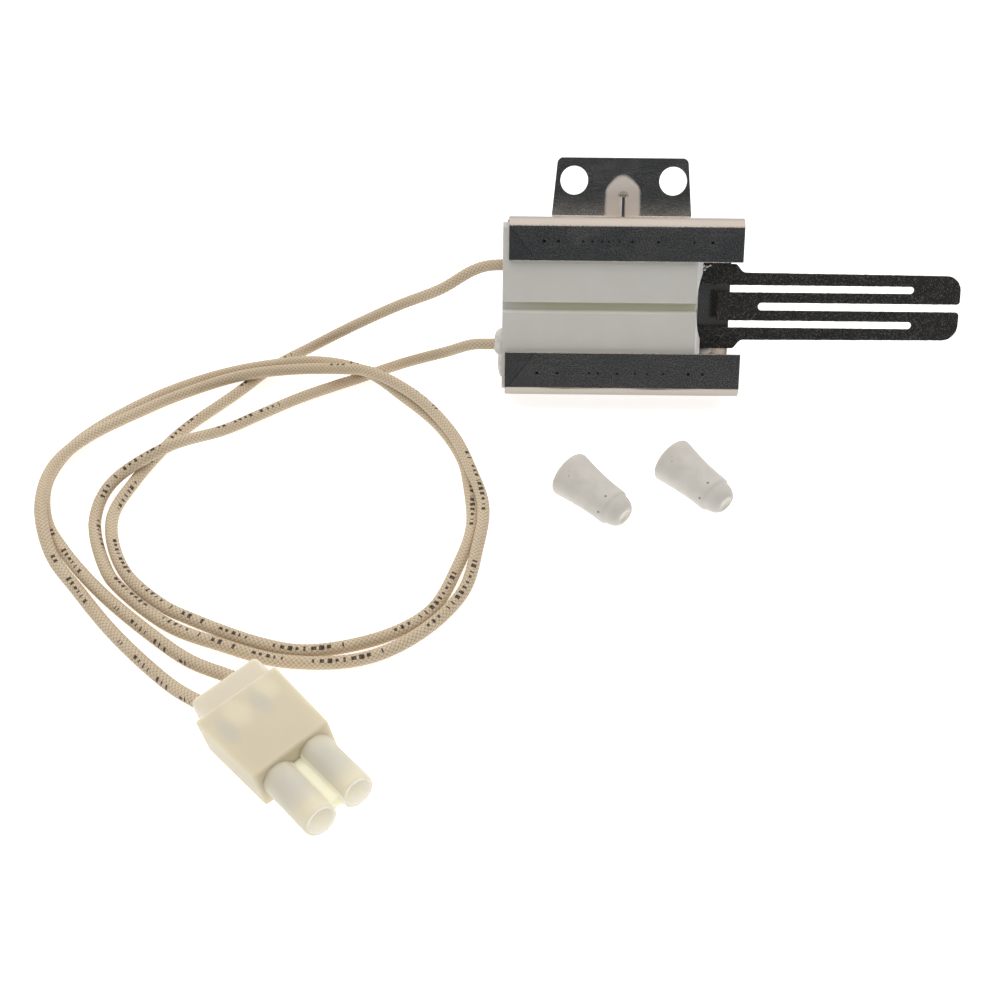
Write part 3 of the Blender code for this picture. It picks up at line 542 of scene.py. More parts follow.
def porcelain():
    """Unglazed porcelain of the wire nuts: warm white, with dark specks, rub marks and painted light in the
    recess.
    """
    g = material(
        "nut_porcelain_look", Subsurface_Weight=0.25, Subsurface_Radius=(1.0, 0.9, 0.75),
        Subsurface_Scale=1.0 * MM,
    )
    at = g.coords()
    mottle = g.remap(g.noise(at, 230.0), 0.35, 0.65)
    tint = g.mix(mottle, (0.625, 0.60, 0.555), (0.67, 0.65, 0.61))
    rubbed = g.noise(g.stretched(at, (900.0, 900.0, 260.0)), 1.0, 6.0, 0.7)
    tint = g.mix(g.remap(rubbed, 0.72, 0.80, 0.0, 0.5), tint, (0.30, 0.25, 0.20))
    across, up, along = g.axes(at)
    past_nose = g.above(along, 17.0 * MM)
    near_axis = g.remap(g.distance(across, up), 1.5 * MM, 1.9 * MM, 1.0, 0.0)
    # painted light in the recess at the nose
    tint = g.mix(g.times(near_axis, past_nose), tint, (0.86, 0.84, 0.76))
    # specks all over, then larger ones, (place, radius) in millimetres
    ragged = g.noise(at, 2500.0)
    cells = g.add("ShaderNodeTexVoronoi", {"Vector": at, "Scale": 330.0})
    few = g.above(g.channels(cells.outputs["Color"])[0], 0.95)
    from_middle = g.scaled(ragged, 0.2, cells.outputs["Distance"])
    specks = [g.times(g.remap(from_middle, 0.17, 0.24, 1.0, 0.0), few)]
    larger = (
        ((-4.0, -1.9, 13.5), 0.5), ((-0.8, -4.3, 14.0), 0.55),
        ((-4.1, -3.8, 3.3), 0.5), ((-4.6, -3.2, 2.6), 0.35),
    )
    for place, reach in larger:
        ends = {0: at, 1: tuple(c * MM for c in place)}
        apart = g.add("ShaderNodeVectorMath", ends, operation="DISTANCE").outputs["Value"]
        far = g.scaled(ragged, 0.5 * MM, apart)
        specks.append(g.remap(far, 0.7 * reach * MM, (reach + 0.15) * MM, 0.9, 0.0))
    tint = g.mix(g.largest(*specks), tint, (0.08, 0.07, 0.055))
    grain = g.noise(at, 3600.0)
    rough = g.remap(grain, 0.3, 0.7, 0.5, 0.7)
    return g.finish(Base_Color=tint, Roughness=rough, Normal=g.bump(grain, 0.02 * MM, 0.6))


# Shapes


ALONG_X = Matrix.Rotation(math.pi / 2, 4, "Y")
ACROSS_X = Matrix(((0, 0, 1, 0), (1, 0, 0, 0), (0, 1, 0, 0), (0, 0, 0, 1)))
UPRIGHT = Matrix(((1, 0, 0, 0), (0, 0, 1, 0), (0, 1, 0, 0), (0, 0, 0, 1)))


def along_x(y):
    return Matrix.Translation((0, y, 0)) @ ALONG_X


def shade(mesh, angle=35):
    """Smooth shading, which stops at edges sharper than that."""
    mesh.shade_smooth()
    mesh.set_sharp_from_angle(angle=math.radians(angle))


def stand(name, mesh, look, place=None):
    """An object in the scene for that mesh, in that look."""
    mesh.materials.append(look)
    obj = bpy.data.objects.new(name, mesh)
    bpy.context.scene.collection.objects.link(obj)
    obj.matrix_world = place or Matrix.Identity(4)
    return obj


def piece(name, shape, look, place=None, smooth=35):
    """An object from (points, faces) in its own frame, standing at that matrix."""
    points, faces = shape
    mesh = bpy.data.meshes.new(name)
    mesh.from_pydata([tuple(p) for p in points], [], faces)
    work = bmesh.new()
    work.from_mesh(mesh)
    bmesh.ops.recalc_face_normals(work, faces=work.faces)
    work.to_mesh(mesh)
    work.free()
    shade(mesh, smooth)
    return stand(name, mesh, look, place)


def finish_piece(obj, node, body="igniter"):
    """The piece moves with that body and is shown instead of that node of the model."""
    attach(obj, body)
    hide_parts(node)


def combine(obj, helper, operation):
    """Joins or cuts another object, then forgets it."""
    modifier = obj.modifiers.new(operation, "BOOLEAN")
    modifier.operation = operation
    modifier.object = helper
    bake(obj)
    bpy.data.objects.remove(helper, do_unlink=True)


def boolean(obj, shape, operation, turn=None):
    """Joins or cuts a shape that stands in the object's own frame."""
    place = obj.matrix_world @ (turn or Matrix.Identity(4))
    combine(obj, piece("helper", shape, obj.data.materials[0], place), operation)


def bake(obj):
    """Applies the modifiers."""
    bpy.context.view_layer.update()
    evaluated = obj.evaluated_get(bpy.context.evaluated_depsgraph_get())
    mesh = bpy.data.meshes.new_from_object(evaluated)
    obj.modifiers.clear()
    obj.data = mesh


def bevel(obj, width, segments=2, angle=40):
    modifier = obj.modifiers.new("soft edges", "BEVEL")
    modifier.width = width
    modifier.segments = segments
    modifier.limit_method = "ANGLE"
    modifier.angle_limit = math.radians(angle)
    bake(obj)
    shade(obj.data)


def prism(outline, low, high):
    """A polygon in X and Y, carried from low to high along Z."""
    count = len(outline)
    points = [(x, y, low) for x, y in outline] + [(x, y, high) for x, y in outline]
    sides = [(i, (i + 1) % count, count + (i + 1) % count, count + i) for i in range(count)]
    return points, [tuple(range(count))[::-1], tuple(range(count, 2 * count)), *sides]


def levels(sections):
    """A solid through rectangles, each (half its width, low Y, high Y, Z), round the Y axis."""
    points, faces = [], [(3, 2, 1, 0)]
    for half, low, high, z in sections:
        points += [(-half, low, z), (half, low, z), (half, high, z), (-half, high, z)]
    for i in range(0, len(points) - 4, 4):
        faces += [(i + k, i + (k + 1) % 4, i + 4 + (k + 1) % 4, i + 4 + k) for k in range(4)]
    last = len(points) - 4
    return points, [*faces, (last, last + 1, last + 2, last + 3)]


def box(low, high):
    outline = [(low[0], low[1]), (high[0], low[1]), (high[0], high[1]), (low[0], high[1])]
    return prism(outline, low[2], high[2])


def rounded_outline(corners, steps=8):
    """A closed outline from (x, y, radius) corners, each rounded by an arc."""
    outline = []
    count = len(corners)
    for i, (x, y, radius) in enumerate(corners):
        here = Vector((x, y))
        if radius == 0:
            outline.append((x, y))
            continue
        before = (Vector(corners[i - 1][:2]) - here).normalized()
        after = (Vector(corners[(i + 1) % count][:2]) - here).normalized()
        half = before.angle(after) / 2
        centre = here + (before + after).normalized() * radius / math.sin(half)
        start = here + before * radius / math.tan(half) - centre
        sweep = start.angle_signed(here + after * radius / math.tan(half) - centre)
        for step in range(steps + 1):
            turned = Matrix.Rotation(-sweep * step / steps, 2) @ start
            outline.append(tuple(centre + turned))
    return outline


def lathe(profile, segments=48):
    """A (radius, z) profile turned about Z. It starts and ends on the axis, or closes on itself as a ring."""
    points, rows = [], []
    for radius, z in profile:
        if radius == 0:
            rows.append([len(points)] * segments)
            points.append((0, 0, z))
            continue
        rows.append(list(range(len(points), len(points) + segments)))
        for i in range(segments):
            angle = 2 * math.pi * i / segments
            points.append((radius * math.cos(angle), radius * math.sin(angle), z))
    pairs = list(zip(rows, rows[1:]))
    if profile[0][0] > 0:
        pairs.append((rows[-1], rows[0]))
    faces = []
    for a, b in pairs:
        for i in range(segments):
            j = (i + 1) % segments
            faces.append(tuple(dict.fromkeys((a[i], a[j], b[j], b[i]))))
    return points, faces


def cylinder(radius, low, high):
    return lathe([(0, low), (radius, low), (radius, high), (0, high)])


def ellipse(x, y, across, up, segments=64):
    turns = (2 * math.pi * i / segments for i in range(segments))
    return [(x + across * math.cos(turn), y + up * math.sin(turn)) for turn in turns]


def bent_path(corners, radius, steps=BEND_STEPS):
    """(point, direction, ends) along straight runs in Y and Z, joined by arcs.

    A corner is (y, z, ends in X).
    """
    path = []
    for i, (y, z, ends) in enumerate(corners):
        here = Vector((y, z))
        if i in (0, len(corners) - 1):
            other = Vector(corners[1 if i == 0 else -2][:2])
            way = (other - here if i == 0 else here - other).normalized()
            path.append((here, way, ends))
            continue
        way_in = (here - Vector(corners[i - 1][:2])).normalized()
        way_out = (Vector(corners[i + 1][:2]) - here).normalized()
        turn = way_in.angle_signed(way_out)
        reach = radius * math.tan(abs(turn) / 2)
        centre = here - way_in * reach + (way_out - way_in * way_in.dot(way_out)).normalized() * radius
        for step in range(steps + 1):
            rotation = Matrix.Rotation(-turn * step / steps, 2)
            point = centre + rotation @ (here - way_in * reach - centre)
            path.append((point, rotation @ way_in, ends))
    return path


def bent_sheet(path, thickness):
    """Sheet metal along a path in Y and Z, from the first to the second of each point's ends in X."""
    points, faces = [], []
    for point, way, (left, right) in path:
        side = Vector((-way.y, way.x)) * thickness / 2
        outer, inner = point + side, point - side
        points += [(left, *outer), (right, *outer), (right, *inner), (left, *inner)]
    for i in range(len(path) - 1):
        for k in range(4):
            a, b = 4 * i + k, 4 * i + (k + 1) % 4
            faces.append((a, b, b + 4, a + 4))
    last = 4 * (len(path) - 1)
    faces += [(0, 1, 2, 3), (last + 3, last + 2, last + 1, last)]
    return points, faces


def smooth_route(route, spacing):
    """Points about that far apart on the centripetal Catmull-Rom curve through the route, in metres."""
    knots = [Vector(p) * MM for p in route]
    knots = [2 * knots[0] - knots[1], *knots, 2 * knots[-1] - knots[-2]]
    dense = []
    for p0, p1, p2, p3 in zip(knots, knots[1:], knots[2:], knots[3:]):
        a, b, c = ((q - p).length ** 0.5 for p, q in ((p0, p1), (p1, p2), (p2, p3)))
        leave = ((p1 - p0) / a - (p2 - p0) / (a + b) + (p2 - p1) / b) * b
        arrive = ((p2 - p1) / b - (p3 - p1) / (b + c) + (p3 - p2) / c) * b
        for step in range(24):
            t = step / 24
            dense.append(
                (2 * t**3 - 3 * t**2 + 1) * p1
                + (t**3 - 2 * t**2 + t) * leave
                + (3 * t**2 - 2 * t**3) * p2
                + (t**3 - t**2) * arrive
            )
    dense.append(knots[-2])
    dense = np.array(dense)
    travelled = np.concatenate([[0], np.cumsum(np.linalg.norm(np.diff(dense, axis=0), axis=1))])
    targets = np.linspace(0, travelled[-1], round(travelled[-1] / spacing) + 1)
    return np.stack([np.interp(targets, travelled, dense[:, k]) for k in range(3)], axis=1)


# Cords


def make_lead(name, node, route, look):
    """A braided tube: each ring's radius follows the crossing strands."""
    sides, spacing = 24, 0.3 * MM
    path = smooth_route(route, spacing)
    path[:, 2] = np.maximum(path[:, 2], BENCH_Z + LEAD_DIAMETER / 2 + BRAID_RELIEF)
    step = np.gradient(path, axis=0)
    step /= np.linalg.norm(step, axis=1)[:, None]
    across = np.cross(step, (0, 0, 1.0))
    across /= np.linalg.norm(across, axis=1)[:, None]
    upward = np.cross(across, step)
    along = np.concatenate([[0], np.cumsum(np.linalg.norm(np.diff(path, axis=0), axis=1))]) / MM
    turn = np.arange(sides) / sides
    angle = 2 * np.pi * turn
    radius = LEAD_DIAMETER / 2 + BRAID_RELIEF * (2 * braid_height(turn[None], along[:, None]) - 1)
    rings = (
        path[:, None]
        + (radius * np.cos(angle))[..., None] * across[:, None]
        + (radius * np.sin(angle))[..., None] * upward[:, None]
    )
    count = len(path)
    points = [*map(tuple, rings.reshape(-1, 3)), tuple(path[0]), tuple(path[-1])]
    faces, uvs = [], []
    for i in range(count - 1):
        for j in range(sides):
            k = (j + 1) % sides
            a, b = i * sides, (i + 1) * sides
            faces.append((a + j, a + k, b + k, b + j))
            left, right = j / sides, (j + 1) / sides
            uvs += [(left, along[i]), (right, along[i]), (right, along[i + 1]), (left, along[i + 1])]
    last = (count - 1) * sides
    for j in range(sides):
        k = (j + 1) % sides
        faces.append((k, j, count * sides))
        faces.append((last + j, last + k, count * sides + 1))
        uvs += [(j / sides, 0.0)] * 3 + [(j / sides, along[-1])] * 3
    mesh = bpy.data.meshes.new(name)
    mesh.from_pydata(points, [], faces)
    layer = mesh.uv_layers.new(name="braid")
    layer.data.foreach_set("uv", np.array(uvs, np.float32).ravel())
    mesh.shade_smooth()
    lead = stand(name, mesh, look)
    finish_piece(lead, node)


def braid_height(turn, along):
    """How high the strands stand, 0 to 1, at that share of a turn and that many millimetres along."""
    strands = [BRAID_STRANDS * turn + way * BRAID_PITCH * along for way in (1, -1)]
    over = (np.floor(strands[0]) + np.floor(strands[1])) % 2
    heights = [np.abs(np.sin(np.pi * strand)) ** BRAID_CREST for strand in strands]
    shares = [BRAID_UNDER + (1 - BRAID_UNDER) * on_top for on_top in (over, 1 - over)]
    return np.maximum(heights[0] * shares[0], heights[1] * shares[1])


# The igniter


def make_bracket(look):
    half = SHEET / 2
    front, rear = LIP_FRONT_Z - half, CHANNEL_REAR_Z + half
    top, bottom = CHANNEL_TOP_Y - half, CHANNEL_BOTTOM_Y + half
    corners = [
        (LOWER_LIP_EDGE_Y, front, LOWER_LIP_ENDS),
        (bottom, front, LOWER_LIP_ENDS),
        (bottom, rear, BACK_PLATE_ENDS),
        (top, rear, BACK_PLATE_ENDS),
        (top, front, UPPER_LIP_ENDS),
        (UPPER_LIP_EDGE_Y, front, UPPER_LIP_ENDS),
    ]
    channel = bent_path(corners, BEND_RADIUS - half)
    bracket = piece("bracket_sheet", bent_sheet(channel, SHEET), look, IGNITER)
    corners = [
        (-LANCE_HALF, CHANNEL_TOP_Y - LANCE_DROP, TAB_CORNER),
        (LANCE_HALF, CHANNEL_TOP_Y - LANCE_DROP, TAB_CORNER),
        (LANCE_HALF, CHANNEL_TOP_Y + 3 * MM, 0),
        (-LANCE_HALF, CHANNEL_TOP_Y + 3 * MM, 0),
    ]
    window = rounded_outline(corners)
    boolean(bracket, prism(window, CHANNEL_REAR_Z - 3 * MM, LANCE_FRONT_Z), "DIFFERENCE")
    base_left, base_right = TAB_MIDDLE_X - TAB_BASE_HALF, TAB_MIDDLE_X + TAB_BASE_HALF
    ends = (base_left, base_right)
    corners = [
        (top, LANCE_FRONT_Z + 1.4 * MM, ends),
        (top, rear, ends),
        (CHANNEL_TOP_Y + TAB_BEND_RADIUS, rear, ends),
    ]
    bend = bent_path(corners, TAB_BEND_RADIUS - half)
    # a hair thinner than the sheet, to keep faces out of one plane
    boolean(bracket, bent_sheet(bend, 0.985 * SHEET), "UNION")
    foot_y = CHANNEL_TOP_Y + 0.6 * TAB_BEND_RADIUS
    corners = [
        (base_left, foot_y, 0),
        (base_right, foot_y, 0),
        (TAB_MIDDLE_X + TAB_TOP_HALF, TAB_TOP_Y, TAB_CORNER),
        (TAB_MIDDLE_X - TAB_TOP_HALF, TAB_TOP_Y, TAB_CORNER),
    ]
    plate = rounded_outline(corners)
    boolean(bracket, prism(plate, CHANNEL_REAR_Z, TAB_FRONT_Z), "UNION")
    rib = [
        (RIB_HALF, top, RIB_TOP_Y - 0.55 * MM, rear),
        (RIB_HALF, top, RIB_TOP_Y - 0.8 * MM, RIB_Z - 0.42 * MM),
        (RIB_HALF - 0.4 * MM, top, RIB_END_Y, RIB_Z),
    ]
    boolean(bracket, levels(rib), "UNION")
    for x in (-HOLE_X, HOLE_X):
        hole = ellipse(x, HOLE_Y, HOLE_RADIUS, HOLE_RADIUS)
        boolean(bracket, prism(hole, CHANNEL_REAR_Z - 2 * MM, TAB_FRONT_Z + 2 * MM), "DIFFERENCE")
    shade(bracket.data)
    finish_piece(bracket, "mounting_bracket")


def make_block(look):
    """The front half, with soft edges, the groove, and the mouth's slanting end and hollow."""
    top, bottom = MIDDLE_Y + BLOCK_HALF_HEIGHT, MIDDLE_Y - BLOCK_HALF_HEIGHT
    front, split = BLOCK_FRONT_Z, 0.15 * MM
    groove_z = front - GROOVE_DEPTH
    corners = [
        (bottom, split, 0.1 * MM),
        (bottom, front - BLOCK_CHAMFER, 0.3 * MM),
        (bottom + BLOCK_CHAMFER, front, 0.3 * MM),
        (MIDDLE_Y - GROOVE_HALF - 0.1 * MM, front, 0.5 * MM),
        (MIDDLE_Y - GROOVE_HALF + 0.3 * MM, groove_z, 0.4 * MM),
        (MIDDLE_Y + GROOVE_HALF, groove_z, 0.2 * MM),
        (MIDDLE_Y + GROOVE_HALF, front, 0.15 * MM),
        (top - BLOCK_CHAMFER, front, 0.3 * MM),
        (top, front - BLOCK_CHAMFER, 0.3 * MM),
        (top, split, 0.1 * MM),
    ]
    outline = rounded_outline(corners, 5)
    right = BLOCK_RIGHT_X + MOUTH_BOW
    half = piece("block_front", prism(outline, BLOCK_LEFT_X, right), look, IGNITER @ ACROSS_X)
    unturn = ACROSS_X.inverted()
    slant = [
        (MOUTH_BEVEL_X, front + 0.1 * MM),
        (BLOCK_RIGHT_X + 2 * MM, front + 0.1 * MM),
        (BLOCK_RIGHT_X + 2 * MM, 1.2 * MM),
        (right - 0.1 * MM, 1.2 * MM),
    ]
    boolean(half, prism(slant, bottom - 1 * MM, top + 1 * MM), "DIFFERENCE", unturn @ UPRIGHT)
    hollow = ellipse(22.8 * MM, MIDDLE_Y + 0.3 * MM, 4.2 * MM, 10.5 * MM, 48)
    boolean(half, prism(hollow, -1 * MM, front + 1 * MM), "DIFFERENCE", unturn)
    cut_ways(half, unturn)
    bevel(half, 0.22 * MM, 2, 50)
    finish_piece(half, "ceramic_front_half")


def cut_ways(half, unturn):
    """The pocket for the pads and the two channels for the leads."""
    low = (POCKET_LEFT_X, MIDDLE_Y - POCKET_HALF_HEIGHT, -POCKET_HALF_DEPTH)
    high = (BLOCK_RIGHT_X + 3 * MM, MIDDLE_Y + POCKET_HALF_HEIGHT, POCKET_HALF_DEPTH)
    boolean(half, box(low, high), "DIFFERENCE", unturn)
    for y in (MIDDLE_Y - WAY_HALF_PITCH, MIDDLE_Y + WAY_HALF_PITCH):
        way = cylinder(WAY_RADIUS, BLOCK_LEFT_X - 3 * MM, POCKET_LEFT_X + 1 * MM)
        boolean(half, way, "DIFFERENCE", unturn @ along_x(y))


def make_element(look):
    """The W-shaped plate, its surface and its sawn edges rough with crystals."""
    tip_x, root_x, pad_x = 87.1 * MM, 3.0 * MM, 29.3 * MM
    pad_half, tip_half, tip_corner = 10.8 * MM, 8.22 * MM, 3.9 * MM
    side_root, side_end, side_outer, side_inner = 24.6 * MM, 75.2 * MM, 5.4 * MM, 3.6 * MM
    middle_root, middle_half, slot_corner = 35.15 * MM, 0.97 * MM, 0.9 * MM
    half_thickness = 0.5 * MM
    upper = [
        (tip_x, middle_half, slot_corner),
        (tip_x, tip_half, tip_corner),
        (pad_x + 1.7 * MM, tip_half + 0.38 * MM, 1.6 * MM),
        (pad_x - 0.2 * MM, pad_half, 0.8 * MM),
        (root_x, pad_half, 0),
        (root_x, side_outer, 0),
        (side_end, side_outer, slot_corner),
        (side_end, side_inner, slot_corner),
        (side_root, side_inner, 0.3 * MM),
    ]
    lower = [(x, -y, radius) for x, y, radius in reversed(upper)]
    middle = [(middle_root, -middle_half, slot_corner), (middle_root, middle_half, slot_corner)]
    outline = [(x, y + ELEMENT_MIDDLE_Y) for x, y in rounded_outline(upper + lower + middle)]
    plate = piece("element_plate", prism(outline, -half_thickness, half_thickness), look, IGNITER)
    roughen(plate, 0.17 * MM, 0.0011, 0.16 * MM)
    finish_piece(plate, "silicon_carbide_element")


def roughen(obj, voxel, texture_size, strength, smooth=0):
    """Even small faces all over, pushed in and out by clouds of that size."""
    remesh = obj.modifiers.new("even faces", "REMESH")
    remesh.mode = "VOXEL"
    remesh.voxel_size = voxel
    if smooth:
        relax = obj.modifiers.new("smooth", "SMOOTH")
        relax.iterations = smooth
    texture = bpy.data.textures.new(obj.name, "CLOUDS")
    texture.noise_scale = texture_size
    texture.noise_depth = 3
    displace = obj.modifiers.new("rough", "DISPLACE")
    displace.texture = texture
    displace.strength = strength
    displace.mid_level = 0.5
    bake(obj)
    obj.data.shade_smooth()


def lump(name, grown_from, look, voxel, texture_size, strength, smooth):
    """One rough lump grown from (x, y, z, radius in x, y, z) ellipsoids, in millimetres."""
    work = bmesh.new()
    for x, y, z, rx, ry, rz in grown_from:
        place = Matrix.Translation((x * MM, y * MM, z * MM)) @ Matrix.Diagonal((rx * MM, ry * MM, rz * MM, 1))
        bmesh.ops.create_icosphere(work, subdivisions=4, radius=1.0, matrix=place)
    mesh = bpy.data.meshes.new(name)
    work.to_mesh(mesh)
    work.free()
    grown = stand(name, mesh, look, IGNITER)
    roughen(grown, voxel, texture_size, strength, smooth)
    return grown


def make_seal(side, grown_from, strength, smooth, y, look):
    """The lump where a lead leaves the block, bored for the lead."""
    seal = lump(f"{side}_lead_seal", grown_from, look, 0.16 * MM, 0.004, strength, smooth)
    boolean(seal, cylinder(LEAD_DIAMETER / 2 + 0.08 * MM, -45 * MM, -20 * MM), "DIFFERENCE", along_x(y * MM))
    finish_piece(seal, f"{side}_lead_cement")


def make_cements(look):
    """The lumps where the leads leave the block, and the crumbs at the pads' roots."""
    up, low = (MIDDLE_Y + WAY_HALF_PITCH) / MM, (MIDDLE_Y - WAY_HALF_PITCH) / MM
    make_seal("upper", [(-28.5, up, 0, 2.75, 2.4, 2.4)], 0.1 * MM, 4, up, look)
    spread = [
        (-28.5, low, 0, 3.2, 2.5, 2.5),
        (-30.9, low + 1.6, 0.3, 1.9, 2.7, 2.4),
        (-31.2, low - 0.3, 0.2, 1.9, 2.4, 2.4),
        (-30.9, low - 4.6, 0.4, 1.0, 3.8, 2.2),
    ]
    make_seal("lower", spread, 0.08 * MM, 8, low, look)
    roots = [
        (15.4, -22.9, 0, 3.0, 3.3, 1.95),
        (15.4, -39.2, 0, 3.0, 3.3, 1.95),
        (18.9, -30.6, 1.9, 0.3, 1.4, 0.5),
        (20.9, -21.8, 0.6, 0.4, 0.35, 0.3),
        (21.5, -21.1, 0.6, 0.45, 0.3, 0.3),
        (22.3, -20.8, 0.6, 0.35, 0.25, 0.25),
        (20.5, -20.9, 0.5, 0.5, 0.4, 0.35),
        (22.1, -42.5, -1.6, 1.9, 1.2, 1.2),
    ]
    crumbs = lump("element_crumbs", roots, look, 0.13 * MM, 0.003, 0.06 * MM, 1)
    finish_piece(crumbs, "element_cement")


# The wire nuts and the plug


def make_nut(name, look):
    """A tapered nut with a soft shoulder, a rounded nose with a small recess, and a threaded bore."""
    (x, y), heading = NUTS[name]
    turns = 9
    profile = [(0, 12.4), (2.0, 12.0)]
    for i in range(2 * turns + 1):
        share = i / (2 * turns)
        thread = 0.22 if i % 2 else 0.0
        profile.append((2.3 + 2.2 * share + thread, 11.6 - 10.6 * share))
    mouth = [(4.9, 0.45), (5.1, 0.08), (5.35, 0.0), (5.6, 0.1), (5.75, 0.35)]
    flank = [(5.8, 0.0), (5.38, 0.18), (5.02, 0.36), (4.72, 0.55), (4.52, 0.75), (4.5, 0.94), (4.44, 1.0)]
    shoulder = [(4.3, 14.9), (4.06, 15.15), (3.95, 15.4), (3.9, 15.8), (3.8, 16.4)]
    nose = [(3.52, 17.15), (3.1, 17.85), (2.6, 18.35), (2.1, 18.56)]
    recess = [(1.8, 18.52), (1.6, 18.35), (1.45, 18.1), (1.2, 17.95), (0, 17.9)]
    profile += mouth
    profile += [(radius, 0.6 + 14.1 * share) for radius, share in flank]
    profile += shoulder + nose + recess
    shape = lathe([(radius * MM, depth * MM) for radius, depth in profile], 72)
    height = BENCH_Z + NUT_MOUTH_RADIUS * math.cos(NUT_SAG) + 0.06 * MM
    turn = Matrix.Rotation(heading, 4, "Z") @ Matrix.Rotation(NUT_SAG, 4, "Y") @ ALONG_X
    nut = piece(f"{name}_body", shape, look, Matrix.Translation((x * MM, y * MM, height)) @ turn, 50)
    finish_piece(nut, name, body=name)


def make_plug(look):
    """Body and collar with soft edges, two barrels with thin lips and open bores, and a web between."""
    length, width, depth = PLUG_BODY
    nose = length + BARREL_LENGTH
    flare = 0.8 * MM
    outline = [(0, -width / 2 - flare), (length, -width / 2), (length, width / 2), (0, width / 2 + flare)]
    housing = piece("plug_shell", prism(outline, -depth / 2, depth / 2), look, PLUG)
    bevel(housing, 0.6 * MM, 4)
    low, high = (-6.1 * MM, -7.4 * MM, -4.1 * MM), (2.6 * MM, 8.3 * MM, 4.15 * MM)
    collar = piece("helper_collar", box(low, high), look, PLUG)
    bevel(collar, 1.3 * MM, 5)
    combine(housing, collar, "UNION")
    web = box((length - 1 * MM, -WEB_HALF, -1.3 * MM), (nose - 1.2 * MM, WEB_HALF, 1.1 * MM))
    boolean(housing, web, "UNION")
    barrel = [
        (0, length - 1.5 * MM),
        (3.55 * MM, length - 1.5 * MM),
        (3.5 * MM, length + 1.0 * MM),
        (3.42 * MM, length + 2.5 * MM),
        (3.38 * MM, nose - 0.9 * MM),
        (3.32 * MM, nose - 0.35 * MM),
        (3.12 * MM, nose - 0.05 * MM),
        (2.95 * MM, nose),
        (0, nose),
    ]
    lead_way, neck = 2.35 * MM, 1.95 * MM
    bore = [
        (0, -7 * MM),
        (lead_way, -7 * MM),
        (lead_way, -3.6 * MM),
        (neck, -3.4 * MM),
        (neck, 0),
        (lead_way, 0.8 * MM),
        (lead_way, 9 * MM),
        (BORE_RADIUS, 10 * MM),
        (BORE_RADIUS, nose - 0.3 * MM),
        (BORE_RADIUS + 0.2 * MM, nose + 2 * MM),
        (0, nose + 2 * MM),
    ]
    for profile, segments, operation in ((barrel, 56, "UNION"), (bore, 48, "DIFFERENCE")):
        for y in (-BARREL_HALF_PITCH, BARREL_HALF_PITCH):
            boolean(housing, lathe(profile, segments), operation, along_x(y))
    bevel(housing, 0.12 * MM, 2, 55)
    finish_piece(housing, "plug_housing")


# The scene


def set_camera():
    camera = bpy.data.cameras.new("camera")
    camera.lens = CAMERA_LENS
    camera.clip_start = 1 * MM
    seat = bpy.data.objects.new("camera", camera)
    turn = Matrix.Rotation(CAMERA_TILT, 4, "X") @ Matrix.Rotation(CAMERA_ROLL, 4, "Z")
    seat.matrix_world = Matrix.Translation(CAMERA_PLACE) @ turn
    bpy.context.scene.collection.objects.link(seat)
    bpy.context.scene.camera = seat


def set_bench():
    """A white bench, partly lit from below, so that shadows on it stay faint."""
    g = material(
        "bench",
        Roughness=0.95,
        Base_Color=(0.8, 0.8, 0.8),
        Specular_IOR_Level=0.0,
        Emission_Color=(1.0, 0.995, 0.985),
        Emission_Strength=0.66,
    )
    fine = g.noise(g.coords(), 300.0)
    look = g.finish(Normal=g.bump(fine, 0.02 * MM, 0.2))
    side = 3.0
    sheet = [(-side, -side, 0), (side, -side, 0), (side, side, 0), (-side, side, 0)], [(0, 1, 2, 3)]
    piece("bench", sheet, look, Matrix.Translation((0, 0, BENCH_Z)))


def rise(degrees):
    """The height of a direction that climbs at this angle."""
    return math.sin(math.radians(degrees))


def set_room():
    """A white room, dark low down behind the camera, where the igniter's face looks."""
    world = bpy.data.worlds.new("room")
    bpy.context.scene.world = world
    g = Graph(world, "Background")
    _, ahead, height = g.axes(g.coords("Generated"))
    overhead = g.remap(height, 0.55, 0.95)
    room = g.mix(overhead, (0.82, 0.83, 0.84), (1.10, 1.03, 0.96))
    depth = g.remap(height, rise(22), rise(30))
    shadow = g.mix(depth, (0.072, 0.079, 0.086), (0.045, 0.053, 0.061))
    low = g.remap(height, rise(40), rise(46), 1.0, 0.0)
    dark = g.times(low, g.remap(ahead, -0.35, -0.15, 1.0, 0.0))
    g.finish(Color=g.mix(dark, room, shadow), Strength=1.0)


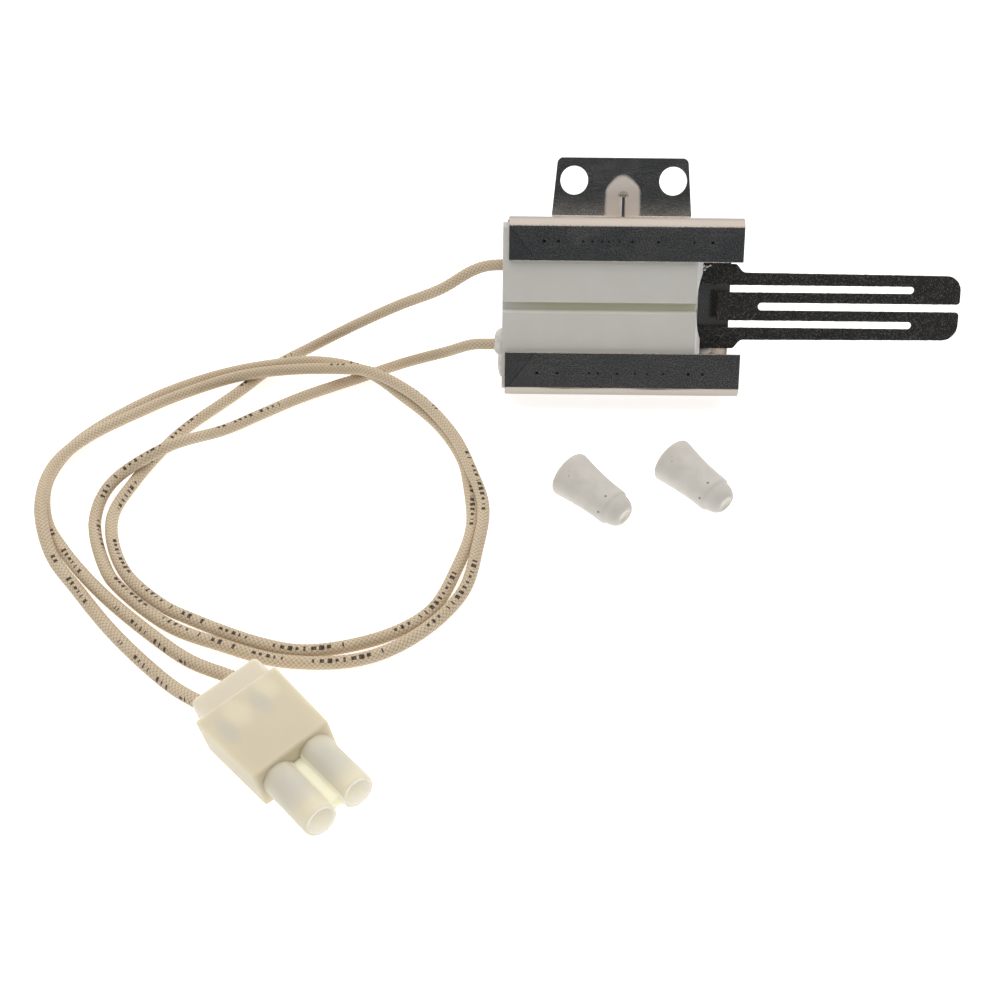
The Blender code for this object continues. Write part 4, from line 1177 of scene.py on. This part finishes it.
def set_lamp():
    """One soft lamp above, which no glossy surface mirrors."""
    lamp = bpy.data.lights.new("softbox", "AREA")
    lamp.shape = "RECTANGLE"
    lamp.size = 0.9
    lamp.size_y = 0.7
    lamp.energy = 2.3
    holder = bpy.data.objects.new("softbox", lamp)
    holder.location = (-0.25, 0.15, 0.85)
    aim = Vector((-0.03, -0.06, -0.04)) - holder.location
    holder.rotation_euler = aim.to_track_quat("-Z", "Y").to_euler()
    holder.visible_glossy = False
    bpy.context.scene.collection.objects.link(holder)


def paint_carried(looks):
    """The looks of the nodes that are shown as the model has them."""
    carried = {
        "plain ceramic": ["ceramic_rear_half"],
        "nickel": [
            "upper_terminal_strip", "lower_terminal_strip", "upper_crimp_ferrule", "lower_crimp_ferrule",
            "left_plug_contact", "right_plug_contact",
        ],
        "copper": ["upper_lead_core", "lower_lead_core", "left_plug_core", "right_plug_core"],
    }
    for look, names in carried.items():
        for name in names:
            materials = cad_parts[name].data.materials
            materials.clear()
            materials.append(looks[look])


def main():
    looks = {
        "steel": steel(),
        "ceramic": ceramic("block_ceramic_look", True),
        "plain ceramic": ceramic("rear_ceramic_look", False),
        "carbide": silicon_carbide(),
        "cement": cement("cement_look", (0.74, 0.73, 0.70)),
        "nickel": plated("nickel_look", (0.66, 0.63, 0.58), 0.25),
        "copper": plated("core_look", (0.7, 0.6, 0.5), 0.35),
        "braid": glass_braid(),
        "nylon": nylon(),
        "porcelain": porcelain(),
    }
    set_camera()
    for side, plug_side, route, exit_point in (
        ("upper", "right", UPPER_LEAD_ROUTE, UPPER_EXIT),
        ("lower", "left", LOWER_LEAD_ROUTE, LOWER_EXIT),
    ):
        make_lead(f"{side}_lead_braid", f"{side}_lead", route, looks["braid"])
    make_bracket(looks["steel"])
    make_block(looks["ceramic"])
    make_element(looks["carbide"])
    make_cements(looks["cement"])
    make_plug(looks["nylon"])
    for name in NUTS:
        make_nut(name, looks["porcelain"])
    paint_carried(looks)
    set_bench()
    set_room()
    set_lamp()
    bpy.context.scene.view_settings.view_transform = "Standard"


main()
